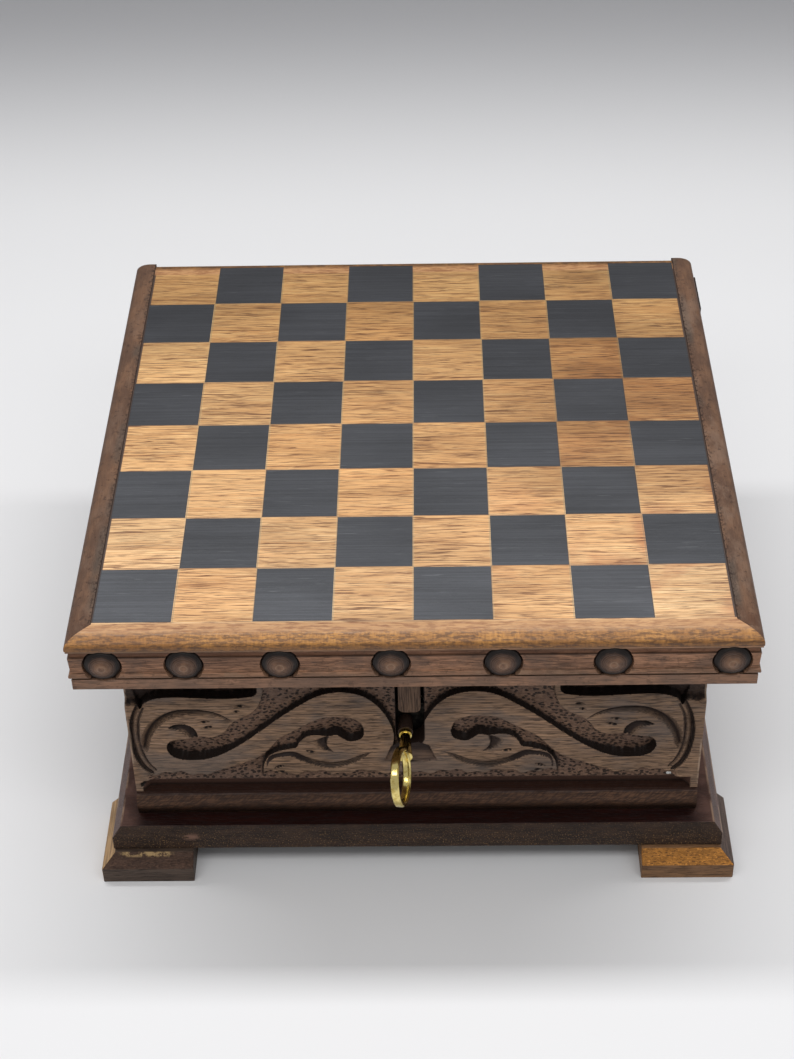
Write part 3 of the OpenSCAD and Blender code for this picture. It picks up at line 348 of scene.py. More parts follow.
# %% [markdown]
# ## The board
# The board is a golden wood with short wavy streaks. Its front and rear edges are rounded over and rubbed to
# amber, and the margin in front of the squares has gone pinkish. The squares are stained wood let into it,
# with a thin pale line round each, where the cut was filled, and a dark one beside it. A stain is thin, so
# the fibres still show in the dark squares as lighter lines, and some scratches are paler still. Light and
# shade are painted on as well: the far rows are darker, as painted shade, and the near rows paler, as a painted
# sheen. The rounded edges are darker where they turn under and at the rear, also as painted shade.

# %% Board
squares_low, squares_high = mm_of("dark_squares")
board_low, board_high = mm_of("board_panel")
SQUARES, ROLL = 8, 6.0


def to_border(value, a):
    """The distance along axis a from the nearest line between two squares."""
    pitch = (squares_high[a] - squares_low[a]) / SQUARES * MM
    passed = (value - squares_low[a] * MM) * (1 / pitch)
    return abs(passed - calc("ROUND", passed)) * pitch


def square_number(x, y):
    """A vector that is the same all over one square."""
    counts = [(value - squares_low[a] * MM) * (SQUARES / (squares_high[a] - squares_low[a]) / MM)
              for a, value in ((0, x), (1, y))]
    return put(x.tree, "ShaderNodeCombineXYZ", X=calc("FLOOR", counts[0]), Y=calc("FLOOR", counts[1]))


def board_finish(place, colour):
    x, y, z = xyz(place)
    on_squares = band(y, squares_low[1], squares_high[1], 0.2)
    for a, value, pale, dark in ((0, x, 0.5, 0.45), (1, y, 0.1, 0.7)):
        away = to_border(value, a)
        colour = coats(colour, (on_squares * band(away, 0.12, 0.34, 0.1) * pale, (0.54, 0.47, 0.29)),
                       (on_squares * band(away, -1, 0.12, 0.08) * dark, (0.16, 0.08, 0.05)))
    own = put(x.tree, "ShaderNodeTexWhiteNoise", noise_dimensions="2D", Vector=square_number(x, y))
    stained = cloud(place, 26, 0.46, 0.62, 4, 0.5, (4, 9, 3))
    beside_strip = span(abs(x), (squares_high[0] - 0.7) * MM, (squares_high[0] - 0.3) * MM)
    outward = calc("MAXIMUM", board_low[1] * MM - y, y - board_high[1] * MM)
    margin = span(outward, -(ROLL + 5.0) * MM, -(ROLL + 3.5) * MM)
    amber = tint(cloud(place, (170, 700, 700), 0.40, 0.56, 5, 0.65), (0.29, 0.125, 0.054), (0.50, 0.265, 0.120))
    roll = span(outward, -(ROLL + 1.0) * MM, -(ROLL - 2.5) * MM)
    honey = coats(
        tint(cloud(place, 60, 0.35, 0.65, 4), (0.50, 0.230, 0.052), (0.34, 0.146, 0.034)),
        (cloud(place, (1000, 260, 260), 0.38, 0.62, 3, 0.6, (1, 5, 2)) * 0.35, (0.150, 0.062, 0.018)),
        (cloud(place, (240, 950, 950), 0.45, 0.58, 5, 0.7) * 0.7, (0.075, 0.030, 0.012)),
        # painted shade: the roll darker where it turns under, and darker on the rear roll
        (span(z, (board_high[2] - 2.0) * MM, (board_high[2] - 4.2) * MM), (0.60, 0.56, 0.50), "MULTIPLY"),
        (y > 0.0, (0.50, 0.52, 0.66), "MULTIPLY"))
    return coats(
        colour,
        (on_squares, tint(own, (1.05, 1.04, 1.0), (0.90, 0.80, 0.68)), "MULTIPLY"),
        (stained * span(x, -0.02, 0.10) * span(y, 0.02, -0.11) * 0.7, (0.92, 0.72, 0.74), "MULTIPLY"),
        # painted shade: the far rows darker
        (span(y, -0.02, 0.115), (0.64, 0.62, 0.54), "MULTIPLY"),
        (stained * span(x, 0.03, 0.10), (0.80, 0.74, 0.70), "MULTIPLY"),
        (span(x, 0.02, 0.08) * band(y, -50, 70, 40), (0.70, 0.65, 0.60), "MULTIPLY"),
        (beside_strip * on_squares, (0.06, 0.035, 0.025)),
        # painted sheen: the near rows paler and brighter
        (span(y, 0.0, -0.11), (1.03, 1.09, 1.22), "MULTIPLY"),
        (margin * 0.75, amber),
        (roll, honey))


def squares_finish(place, colour):
    x, y, _ = xyz(place)
    colour = shaded(colour, span(noise(place, (9, 1250, 1250), 3, 0.5, (3, 5, 8)), 0.34, 0.66, 0.87, 1.15))
    to_line = calc("MINIMUM", to_border(x, 0), to_border(y, 1))
    return coats(
        colour,
        (cloud(place, (60, 2600, 60), 0.73, 0.79, 1, 0.5, (7, 3, 1)) * 0.3, (0.30, 0.31, 0.32)),
        # painted sheen on the near rows, then painted shade on the far rows
        (span(y, -0.06, -0.125), (1.5, 1.5, 1.5), "MULTIPLY"),
        (span(y, -0.05, 0.10), (0.73, 0.73, 0.74), "MULTIPLY"),
        (band(to_line, -1, 0.3, 0.15) * 0.6, (0.020, 0.016, 0.016)))


wood("golden board", ((0.76, 0.470, 0.225), (0.56, 0.300, 0.126), (0.15, 0.062, 0.028)), (0.6, 0.4, 0.8, 0.9),
     (0.82, 0.55, 0.28), 0.42, 0.02, waviness=0.0035, specular=0.5, fine=1.15, long=2.0, finish=board_finish)
wood("charcoal stain", ((0.053, 0.055, 0.061), (0.044, 0.046, 0.052), (0.036, 0.037, 0.041)),
     (0.8, 0.2, 0.4, 0.3), rough=0.40, deep=0.015, waviness=0.0012, specular=0.5, finish=squares_finish)

# %% [markdown]
# ## Strips beside the board
# The lid's edge strips are walnut that was handled most: reddish brown, dull and grey beside the board, with
# black chips along the seam, grazed light patches and smears at the mitres.

# %% Strips
def strip_finish(low, high, worn):
    """A finish for a strip between two x places in mm. worn is how much raw wood shows."""
    inner, outer = (low, high) if low > 0 else (high, low)
    sign = math.copysign(1, inner)

    def finish(place, colour):
        x, y, _ = xyz(place)
        dull_half = span(x, (inner + sign * 5.0) * MM, (inner + sign * 2.0) * MM)
        seam = band(x, min(inner, inner + sign * 0.5), max(inner, inner + sign * 0.5), 0.12)
        return coats(
            colour,
            (0.6, (0.220, 0.113, 0.062)),
            (cloud(place, (110, 45, 110), 0.38, 0.62, 6, 0.68), (0.104, 0.058, 0.038)),
            (dull_half * cloud(place, (40, 22, 40), 0.42, 0.60, 3, 0.6, (9, 4, 2)) * 0.7, (0.070, 0.058, 0.048)),
            (cloud(place, (60, 30, 60), 0.50, 0.62, 6, 0.7, (2, 2, 7)) * worn * 0.45, (0.24, 0.160, 0.115)),
            (span(x, (outer - sign * 2.6) * MM, outer * MM) * 0.6, (0.075, 0.036, 0.022)),
            (cloud(place, (800, 520, 800), 0.50, 0.57, 5, 0.7, (5, 1, 3))
             * span(x, (inner + sign * 3.0) * MM, inner * MM), (0.022, 0.013, 0.010)),
            (seam, (0.03, 0.018, 0.013)),
            (use(wear, Vector=place)["Flecks"] * 0.5, (0.04, 0.022, 0.016)),
            (span(y, -0.112, -0.130) * cloud(place, 200, 0.42, 0.58) * worn * 0.8, (0.09, 0.040, 0.022)))
    return finish


for side, worn in (("left", 0.45), ("right", 0.9)):
    low, high = mm_of(side + "_edge_strip")
    wood(side + " strip walnut", ((0.14, 0.090, 0.064), (0.075, 0.048, 0.037), (0.03, 0.018, 0.014)),
         (0.4, 0.6, 0.4, 0.4), along="y", finish=strip_finish(low[0], high[0], worn))

# %% [markdown]
# ## The lid's frame
# The frame is one moulding with several members: a plain strip at the foot, a groove, a small bead, the broad
# band that carries the rosettes, a step and a lip. The groove, a line where the band meets the step, and the
# notch under the lip are painted near-black as shade. The step is a darker reddish brown that is partly painted
# shade, and the polish is rubbed off the bead and the lip.

# %% Frame
frame_foot = mm_of("front_frame")[0][2]


def frame_finish(place, colour):
    z = xyz(place)[2]
    marks = use(wear, Vector=place)

    def between(low, high, soft=0.15):
        return band(z, frame_foot + low, frame_foot + high, soft)

    return coats(
        colour,
        (cloud(place, (60, 60, 90), 0.42, 0.60, 5, 0.6, (2, 8, 5)) * 0.55, (0.088, 0.058, 0.045)),
        (between(-1, 5.4) * 0.4, (0.185, 0.115, 0.080)),
        # painted shade: the groove near-black
        (between(5.3, 6.3), (0.028, 0.015, 0.010)),
        (between(6.5, 8.8) * (marks["Rubbed"] * 0.6 + 0.3), (0.235, 0.140, 0.088)),
        # painted shade: a dark line where the band meets the step, the step darker, partly its own reddish brown, and
        # the notch near-black
        (between(16.9, 17.5, 0.2) * 0.7, (0.04, 0.022, 0.015)),
        (between(17.4, 19.8) * 0.6, (0.125, 0.052, 0.027)),
        (between(19.7, 20.4), (0.020, 0.010, 0.007)),
        (between(20.4, 22.0) * 0.5, (0.26, 0.155, 0.09)),
        (marks["Flecks"] * 0.35, (0.04, 0.022, 0.015)))


for name, along in (("frame walnut", "x"), ("frame walnut side", "y")):
    wood(name, ((0.400, 0.205, 0.116), (0.150, 0.076, 0.047), (0.035, 0.017, 0.011)), (0.7, 0.5, 0.7, 0.4),
         along=along, finish=frame_finish)

# %% [markdown]
# ## Carved walls
# The carved walls are walnut with a fine, high-contrast grain where the lobes stand at the face. Four numbers
# that are stored on the carved mesh drive the rest. "punch" says where the ground is punched: it is a little
# redder than the lobes and full of black marks, painted shade of the punch holes, which are cells in the wall's
# own plane. "wall" is how steep a face is, because steep sides are near-black, partly burnt and partly painted
# shade. "shade" is painted shade in the cuts, partly grime, and "cove" the smooth hollow along the foot, whose
# dark red-brown is partly painted shade.

# %% Carved walnut
PITS_ALONG, PITS_UP = 420, 600
HALF_CASE = 121.0
SPECK = (0.1083, -0.1196, 0.0472)


def carved_finish(along):
    """A finish for a carved wall that runs along x or y."""
    def finish(place, colour):
        x, y, z = xyz(place)
        run = x if along == "x" else y
        ragged = noise(place, 700, 3, 0.6)
        flat = put(x.tree, "ShaderNodeCombineXYZ", X=run * PITS_ALONG, Y=z * PITS_UP)
        from_middle, own = cells(flat, 1.0, voronoi_dimensions="2D")
        # painted shade: black marks for the shade in the punch holes
        painted_pit_shade = (own > 0.2) * span(from_middle + (ragged - 0.5) * 0.5, 0.27, 0.38, 1.0, 0.0)
        end = span(abs(run), (HALF_CASE - 1.0) * MM, (HALF_CASE - 0.4) * MM)
        colour = coats(
            colour,
            (cloud(place, (38, 38, 70), 0.42, 0.62, 4, 0.55, (6, 2, 4)) * 0.55, (0.108, 0.088, 0.079)),
            (painted(place, "punch") * 0.7,
             tint(span(ragged, 0.40, 0.60), (0.155, 0.088, 0.060), (0.098, 0.054, 0.038))),
            # the cove's dark red-brown is partly painted shade
            (painted(place, "cove"), (0.062, 0.031, 0.022)),
            (painted_pit_shade * span(painted(place, "punch"), 0.3, 0.7) * 0.9, (0.012, 0.007, 0.005)),
            # painted shade, partly grime, from the "shade" numbers
            (span(painted(place, "shade"), 0.05, 0.8), (0.022, 0.012, 0.009)),
            # steep faces near-black: partly burnt, partly painted shade
            (span(painted(place, "wall"), 0.30, 0.56), (0.010, 0.0055, 0.004)),
            (end * cloud(place, (160, 160, 70), 0.44, 0.54, 5, 0.65) * 0.7, (0.36, 0.26, 0.19)))
        if along == "x":
            from_speck = calc("DISTANCE", place, SPECK, VECTORS, "Value")
            colour = tint(span(from_speck, 0.0009, 0.0012, 1.0, 0.0), colour, (0.62, 0.62, 0.60))
        return tint(use(wear, Vector=place)["Dust"], colour, (0.6, 0.58, 0.55))
    return finish


for name, along in (("carved walnut", "x"), ("carved walnut side", "y")):
    wood(name, ((0.310, 0.187, 0.110), (0.110, 0.069, 0.046), (0.030, 0.018, 0.012)), (0.8, 0.15, 0.75, 0.6),
         (0.26, 0.165, 0.11), 0.55, along=along, fine=0.95, finish=carved_finish(along))

# %% [markdown]
# ## Beads, rail and plain pieces
# The rounded bead under the front was planed by hand and shows slanting marks. Its ledge where it meets the
# wall is painted dark and its lower half darker where it turns under, both painted shade. The rail behind the
# lid is plain walnut with dark ends. The drawers and the floor, which don't show when the box is shut, are pale wood.

# %% Beads, rail and plain woods
bead_low, bead_high = mm_of("front_bead")
WALNUT = ((0.155, 0.098, 0.066), (0.085, 0.052, 0.036), (0.03, 0.018, 0.013))
BEAD = ((0.112, 0.055, 0.030), (0.048, 0.022, 0.012), (0.012, 0.006, 0.004))
PALE = ((0.56, 0.42, 0.26), (0.46, 0.32, 0.18), (0.30, 0.20, 0.11))


def rail_finish(place, colour):
    """Dark ends."""
    return tint(span(abs(xyz(place)[0]), 138.4 * MM, 140 * MM), colour, (0.030, 0.019, 0.015))


def bead_finish(place, colour):
    _, y, z = xyz(place)
    slant = stretched(place, (1, 1, 1), turn=(0, math.radians(-55), 0))
    return coats(
        colour,
        (cloud(slant, (1250, 300, 240), 0.42, 0.58) * 0.7, (0.026, 0.013, 0.009)),
        # painted shade: the ledge where the bead meets the wall
        (span(abs(y), (-bead_low[1] - 1.2) * MM, (-bead_low[1] - 2.4) * MM) * 0.85, (0.026, 0.011, 0.008)),
        # painted shade: the lower half, where the bead turns under
        (span(z, (bead_high[2] - 4.5) * MM, (bead_low[2] + 3) * MM), (0.33, 0.30, 0.28), "MULTIPLY"))


wood("walnut", WALNUT, rough=0.55)
wood("rail walnut", WALNUT, rough=0.55, finish=rail_finish)
wood("tongue walnut", ((0.165, 0.098, 0.062), (0.070, 0.040, 0.028), (0.02, 0.012, 0.009)),
     (0.8, 0.3, 0.6, 0.4), along="z")
wood("knob walnut", ((0.12, 0.074, 0.050), (0.06, 0.036, 0.026), (0.02, 0.012, 0.009)), along="y")
wood("bead wood", BEAD, (0.7, 0.4, 0.5, 0.4), rough=0.42, finish=bead_finish)
wood("bead wood side", BEAD, (0.7, 0.4, 0.5, 0.4), rough=0.42, along="y")
wood("pale wood", PALE, (0.6, 0.4, 0.3, 0.4), rough=0.6)
wood("pale wood across", PALE, (0.6, 0.4, 0.3, 0.4), rough=0.6, along="y")
wood("plug wood", ((0.060, 0.034, 0.024), (0.028, 0.016, 0.012), (0.008, 0.005, 0.004)), rough=0.4)

# %% [markdown]
# ## Base plate and feet
# The plate is a deep red mahogany on top, painted darker than the wood is as the shade under the bead, with a
# dull, greyer edge that shows golden specks and rubbed lines along its slopes. Each foot was cut from another
# piece of wood: the left one is dark with raw corners, the right one is golden on its slope, with dark flecks.

# %% Plate and feet
plate_low, plate_high = mm_of("base_plate")
FOOT_SLOPE, FOOT_SLOPE_HIGH = 5.8, 5.3


def plate_finish(place, colour):
    x, y, z = xyz(place)
    across, depth = abs(x), abs(y)
    cloudy = cloud(place, (90, 90, 300), 0.4, 0.6, 5)
    end_face = span(depth, (plate_high[1] - 0.5) * MM, (plate_high[1] - 0.1) * MM)
    scuff = end_face * band(x, -101, -95, 2) * band(z, plate_low[2] + 6, plate_low[2] + 9, 1.5)
    ridge = band(across, plate_high[0] - 4.9, plate_high[0] - 4.1, 0.25)
    tip = band(across, plate_high[0] - 0.6, plate_high[0] + 1, 0.3)
    worn = calc("MAXIMUM", ridge, tip) * cloud(place, (150, 60, 150), 0.42, 0.56, 4) * (1.0 - end_face)
    return coats(
        colour,
        (span(across, 0.117, 0.127), tint(cloudy, (0.110, 0.056, 0.043), (0.062, 0.030, 0.023))),
        (end_face, tint(cloudy, (0.036, 0.0190, 0.0118), (0.020, 0.0106, 0.0072))),
        (cloud(place, 1700, 0.58, 0.68, 2, 0.5, (2, 5, 1)) * end_face
         * span(z, plate_high[2] * MM, (plate_low[2] + 4) * MM, 0.4, 1.0), (0.20, 0.115, 0.050)),
        (scuff * cloud(place, (200, 200, 500), 0.42, 0.52, 5) * 0.8, (0.22, 0.12, 0.085)),
        (worn * 0.65, (0.36, 0.24, 0.16)),
        (use(wear, Vector=place)["Dust"], (0.4, 0.37, 0.33)))


def foot_finish(name, front_slope, flecks, side_slope, raw):
    """A finish for the foot of that name: the colours of its front slope and of the flecks there, the colour of
    its outer slope, and how much raw wood shows along the top of the front slope."""
    low, high = mm_of(name)
    out_x, out_y = (high[a] if low[a] > 0 else -low[a] for a in (0, 1))
    slope_foot = high[2] - FOOT_SLOPE_HIGH

    def finish(place, colour):
        x, y, z = xyz(place)
        across, depth = abs(x), abs(y)
        raised = span(z, (slope_foot - 0.1) * MM, (slope_foot + 0.3) * MM)
        past_x, past_y = across - (out_x - FOOT_SLOPE) * MM, depth - (out_y - FOOT_SLOPE) * MM
        in_front = raised * span(past_y, 0, 0.3 * MM) * (past_y > past_x)
        at_side = (past_x > past_y) * span(past_x, 0, 0.3 * MM)
        clouds = cloud(place, (130, 260, 260), 0.38, 0.62, 5, 0.65)
        stripes = cloud(place, (1100, 60, 1100), 0.40, 0.60, 4, 0.6)
        top = span(z, (high[2] - 2.0) * MM, (high[2] - 1.0) * MM)
        ragged = cloud(place, 330, 0.44, 0.53, 7, 0.75, (4, 2, 6))
        return coats(
            colour,
            (in_front, tint(clouds, front_slope, tuple(c * 0.68 for c in front_slope))),
            (cloud(place, (700, 1700, 1700), 0.54, 0.64, 3, 0.6, (8, 2, 5)) * in_front * 0.7,
             tuple(c * 1.7 for c in front_slope)),
            (cloud(place, (600, 1500, 1500), 0.52, 0.60, 4, 0.65, (1, 4, 2)) * in_front * 0.8, flecks),
            (at_side, tint(stripes, side_slope, tuple(c * 0.55 for c in side_slope))),
            (top * ragged * in_front * band(across, out_x - 30, out_x - 9, 2.5) * raw, (0.42, 0.28, 0.13)))
    return finish


# painted shade: these colours are darker than the wood, for the shade under the bead
wood("mahogany", ((0.026, 0.0062, 0.0045), (0.011, 0.0030, 0.0024), (0.006, 0.002, 0.002)), rough=0.42,
     finish=plate_finish)
FEET = {
    # the wood's light and dark growth, then what foot_finish asks for
    "front_left_foot": ((0.115, 0.080, 0.060), (0.060, 0.040, 0.030),
                        (0.070, 0.037, 0.024), (0.030, 0.015, 0.010), (0.48, 0.30, 0.15), 0.9),
    "front_right_foot": ((0.31, 0.165, 0.078), (0.15, 0.078, 0.040),
                         (0.43, 0.180, 0.034), (0.105, 0.042, 0.012), (0.125, 0.085, 0.070), 0.0),
    "rear_left_foot": ((0.16, 0.085, 0.045), (0.08, 0.042, 0.024),
                       (0.14, 0.075, 0.035), (0.05, 0.022, 0.012), (0.16, 0.09, 0.05), 0.3),
    "rear_right_foot": ((0.16, 0.085, 0.045), (0.08, 0.042, 0.024),
                        (0.18, 0.09, 0.035), (0.05, 0.022, 0.012), (0.13, 0.085, 0.065), 0.0),
}
for name, (light, dark, *asked) in FEET.items():
    wood(name + " wood", (light, dark, tuple(c * 0.3 for c in dark)), (0.7, 0.4, 0.7, 0.4),
         finish=foot_finish(name, *asked))
print("woods:", len(woods))

# %% [markdown]
# ## Metals
# The key is yellow brass, polished by hands but not new: its roughness varies in patches and fine scratches.
# The hinge is duller brass, its rod is steel, and the lock inside the wall is blackened.

# %% Metals
METALS = {
    # colour, colour where worn, roughness
    "key brass": ((0.80, 0.66, 0.26), (0.58, 0.44, 0.13), 0.16),
    "dull brass": ((0.50, 0.38, 0.17), (0.32, 0.23, 0.10), 0.36),
    "steel": ((0.78, 0.77, 0.74), (0.56, 0.54, 0.51), 0.38),
    "blackened steel": ((0.028, 0.025, 0.022), (0.012, 0.011, 0.010), 0.5),
}
metals = {}
for name, (colour, worn, rough) in METALS.items():
    metals[name], place, shader = new_material(name)
    patch = noise(place, 420, 5, 0.6)
    give(shader, {"Base Color": tint(span(patch, 0.42, 0.62), colour, worn),
                  "Roughness": span(patch, 0.3, 0.7, rough - 0.06, rough + 0.12),
                  "Normal": relief(noise(place, (900, 160, 900)), 0.03, 0.5),
                  "Metallic": 1.0})

# %% [markdown]
# ## Which piece is made of what
# Every solid gets its material here. The carved walls and the rosettes get plain walnut for now, because new
# meshes take their place further down.

# %% Finishes
FINISHES = {
    "rail walnut": "rear_rail",
    "tongue walnut": "lid_tongue",
    "bead wood": "front_bead rear_bead",
    "bead wood side": "left_bead right_bead",
    "frame walnut": "front_frame rear_frame",
    "frame walnut side": "left_frame right_frame",
    "left strip walnut": "left_edge_strip",
    "right strip walnut": "right_edge_strip",
    "knob walnut": "left_drawer_knob right_drawer_knob",
    "mahogany": "base_plate",
    "plug wood": "lock_plug",
    "golden board": "board_panel",
    "charcoal stain": "dark_squares",
    "pale wood": "compartment_floor front_runner rear_runner left_drawer_sides right_drawer_sides",
    "pale wood across": "drawer_divider left_drawer_back right_drawer_back left_drawer_bottom right_drawer_bottom",
    "key brass": "key",
    "dull brass": "lower_hinge_leaf upper_hinge_leaf lower_leaf_screws upper_leaf_screws lock_link link_screws",
    "steel": "hinge_rod lock_bolt",
    "blackened steel": "lock_case lock_cover lock_screws",
    "walnut": "rear_panel front_panel left_side_panel right_side_panel left_drawer_front right_drawer_front "
              "front_rosettes left_rosettes right_rosettes",
    **{name + " wood": name for name in FEET},
}
for finish, names in FINISHES.items():
    for name in names.split():
        nodes[name].data.materials.clear()
        nodes[name].data.materials.append({**woods, **metals}[finish])
print("solids without a finish:", sorted(set(nodes) - set(" ".join(FINISHES.values()).split())))

# %% [markdown]
# ## Softened edges
# Sharp edges don't exist on a handled wooden box. The plain pieces keep their solids and get a small rounding
# from a modifier, after one that joins the corners of neighbouring faces.

# %% Softened edges
SOFTENED = {**dict.fromkeys(FEET, 0.5), "base_plate": 0.5, "left_edge_strip": 0.25, "right_edge_strip": 0.25,
            "lid_tongue": 0.6, "rear_rail": 0.4, "key": 0.45}
for name, radius in SOFTENED.items():
    joined = nodes[name].modifiers.new("joined", "WELD")
    joined.merge_threshold = 0.01 * MM
    rounded = nodes[name].modifiers.new("rounded", "BEVEL")
    rounded.width, rounded.segments, rounded.profile = radius * MM, 2, 0.5
    rounded.limit_method, rounded.angle_limit = "ANGLE", math.radians(30)
print("softened pieces:", len(SOFTENED))

# %% [markdown]
# ## Carving as a field of depths
# The carving is chip and gouge work: lobes left at the face, hollows between them with one steep wall and one
# soft side, V cuts that follow the curves, and a ground that is punched all over. It could be modelled cut by
# cut with booleans, but the floors here slope and fade out. So each cut is a rule that gives a depth at every
# point of the wall, from its distance to a curve, and a fine grid is pushed in by the deepest of them.
# The curves are drawn in millimetres: u outwards from the middle of the wall, v up from its foot.

# %% Curves
def smooth_line(points, steps=5):
    """A smooth line through the points."""
    p = np.array(points, float)
    p = np.vstack([2 * p[0] - p[1], p, 2 * p[-1] - p[-2]])
    made = []
    for a, b, c, d in zip(p[:-3], p[1:-2], p[2:-1], p[3:]):
        t = np.linspace(0, 1, steps, endpoint=False)[:, None]
        made.append(0.5 * ((2 * b) + (c - a) * t + (2 * a - 5 * b + 4 * c - d) * t * t
                           + (3 * b - a - 3 * c + d) * t ** 3))
    return np.vstack(made + [p[-2][None]])


def from_line(line, u, v):
    """For each point: distance to the line, side of it (1 left, -1 right), length of line passed, nearest point."""
    away, side, along = np.full(u.shape, 1e9), np.zeros(u.shape), np.zeros(u.shape)
    near_u, near_v = u.copy(), v.copy()
    lengths = np.r_[0, np.cumsum(np.hypot(*np.diff(line, axis=0).T))]
    for i, (a, b) in enumerate(zip(line[:-1], line[1:])):
        d = b - a
        t = np.clip(((u - a[0]) * d[0] + (v - a[1]) * d[1]) / (d @ d), 0, 1)
        pu, pv = a[0] + t * d[0], a[1] + t * d[1]
        r = np.hypot(u - pu, v - pv)
        near = r < away
        away = np.where(near, r, away)
        side = np.where(near, np.sign(d[0] * (v - pv) - d[1] * (u - pu)), side)
        along = np.where(near, lengths[i] + t * (lengths[i + 1] - lengths[i]), along)
        near_u, near_v = np.where(near, pu, near_u), np.where(near, pv, near_v)
    return away, side, along, near_u, near_v


def within(ring, u, v):
    """True for the points inside a closed outline."""
    odd = np.zeros(u.shape, bool)
    for a, b in zip(ring, np.roll(ring, -1, axis=0)):
        if a[1] != b[1]:
            odd ^= ((a[1] > v) != (b[1] > v)) & (u < (b[0] - a[0]) * (v - a[1]) / (b[1] - a[1]) + a[0])
    return odd


def ease(x):
    x = np.clip(x, 0, 1)
    return x * x * (3 - 2 * x)


def hollow(u, v, wall, fade, deep, shelf=0.0, steep=0.55):
    """A hollow with a steep wall along one line, that fades out, or ends on a shelf, towards the other.
    Gives its depth, how near a point is to the wall (1 at it), and its place along and away from the wall."""
    hard, soft = smooth_line(wall), smooth_line(fade)
    inside = within(np.vstack([hard, soft[::-1]]), u, v)
    to_wall, _, along, _, _ = from_line(hard, u, v)
    to_fade = from_line(soft, u, v)[0]
    share = to_wall / (to_wall + to_fade + 1e-6)
    slope = shelf + (1 - shelf) * (1 - share ** 1.6)
    edge = ease(to_fade / (0.5 + 0.6 * (1 - shelf)))
    depth = np.where(inside, deep * slope * ease(to_wall / steep) * edge, 0)
    return depth, np.where(inside, 1 - share, 0), along, to_wall


def gouge(u, v, points, width, deep, lean=0.0, blunt=0.15, blunt_end=0.0):
    """A V cut that is pointed at both ends, or blunt. lean moves its deepest line to one side.
    Gives its depth and how near a point is to its deepest line (1 there), which sets the painted shade in it."""
    line = smooth_line(points)
    away, side, along, _, _ = from_line(line, u, v)
    passed = along / np.hypot(*np.diff(line, axis=0).T).sum()
    share = np.clip(np.sin(np.pi * (blunt + (1 - blunt - blunt_end) * passed)), 0, 1) ** 0.6
    half = np.maximum(width / 2 * share, 1e-3)
    across = np.clip(away / half, 0, 1) * side
    cut = np.clip(np.where(across < lean, (1 + across) / (1 + lean), (1 - across) / (1 - lean)), 0, 1)
    return deep * share * cut, cut


# %% [markdown]
# ## The scrolls
# One half of the wall holds an outer lobe with a curled end, an inner lobe that curls the other way, and two
# hollows that sweep in from the top and the bottom edge to round eyes. These are the outlines. In each pair
# the first line is the steep wall of a hollow and the second is where it fades out.

# %% Outlines of one half
LOBE_EDGE = [(105.2, 28.6), (105.5, 25.3), (103.5, 21.5), (99.5, 19.5), (94.1, 19.1), (88.8, 19.8), (83.3, 22.0),
             (76.5, 26.5), (70.9, 31.0), (65.3, 36.1), (59.8, 41.3), (53.2, 47.1), (47.7, 51.4), (42.3, 55.3),
             (37.1, 57.6), (30.8, 58.5), (24.7, 57.4), (19.6, 54.7), (15.5, 50.3), (12.5, 45.1), (10.2, 39.2),
             (9.1, 33.2), (9.7, 27.2), (12.0, 21.2)]
UPPER_FADE = [(105.2, 28.6), (102.7, 30.9), (96.3, 32.0), (90.9, 33.2), (85.1, 33.0), (80.7, 35.4), (78.4, 39.3),
              (74.9, 42.9), (70.0, 45.8), (66.4, 49.2), (64.2, 54.5), (63.3, 60.3), (64.0, 66.0), (60.0, 72.5),
              (40.0, 74.0), (20.0, 73.5), (8.5, 70.0), (6.6, 60.0), (6.0, 48.0), (6.2, 34.0), (8.0, 24.0),
              (12.0, 21.2)]
LOWER_WALL = [(21.6, 36.5), (21.9, 33.0), (23.9, 30.6), (27.7, 29.6), (30.2, 31.2), (33.3, 33.6), (36.5, 32.8),
              (41.2, 33.4), (45.5, 32.9), (48.8, 29.9), (50.6, 26.2), (54.3, 25.3), (59.8, 23.3), (63.1, 20.3),
              (65.0, 14.9), (65.3, 7.0)]
LOWER_FADE = [(21.6, 36.5), (22.8, 40.4), (26.7, 43.4), (31.4, 44.2), (37.6, 44.0), (41.9, 42.5), (47.3, 38.9),
              (52.7, 35.2), (57.7, 31.6), (61.6, 26.3), (66.3, 21.2), (73.1, 17.4), (80.6, 14.3), (87.1, 11.3),
              (94.9, 7.0)]
GROUND_WALL = [(117.5, 56.0), (115.0, 49.6), (113.0, 52.6), (110.6, 54.6), (106.7, 55.9), (99.4, 56.3),
               (89.1, 55.7), (78.7, 55.2), (70.4, 55.9), (66.4, 57.2), (65.2, 60.3), (65.8, 66.0)]
GROUND_FADE = [(117.5, 56.0), (118.0, 62.0), (116.0, 70.0), (105.0, 74.0), (85.0, 74.5), (68.5, 73.5), (65.8, 66.0)]
BORDER = [(115.4, 51.5), (118.0, 44.0), (119.2, 36.0), (119.2, 29.0), (118.2, 21.0), (116.0, 15.0), (113.2, 11.5)]
INNER_BORDER = [(113.6, 50.0), (116.1, 43.6), (117.1, 36.0), (117.1, 29.0), (116.1, 22.0), (114.2, 16.5),
                (111.8, 13.0)]
OUTER_ARC = [(115.3, 26.0), (113.6, 33.0), (109.7, 40.0), (104.5, 44.6), (99.1, 46.9), (92.8, 47.5), (86.6, 46.8),
             (81.4, 45.0), (76.5, 41.8)]
COMMA_WALL = [(104.6, 38.3), (101.0, 40.3), (97.6, 40.6), (94.6, 39.4), (92.4, 36.6), (91.6, 33.0)]
COMMA_FADE = [(104.6, 38.3), (101.2, 36.9), (98.6, 35.6), (96.9, 33.6), (95.2, 31.8), (91.6, 33.0)]
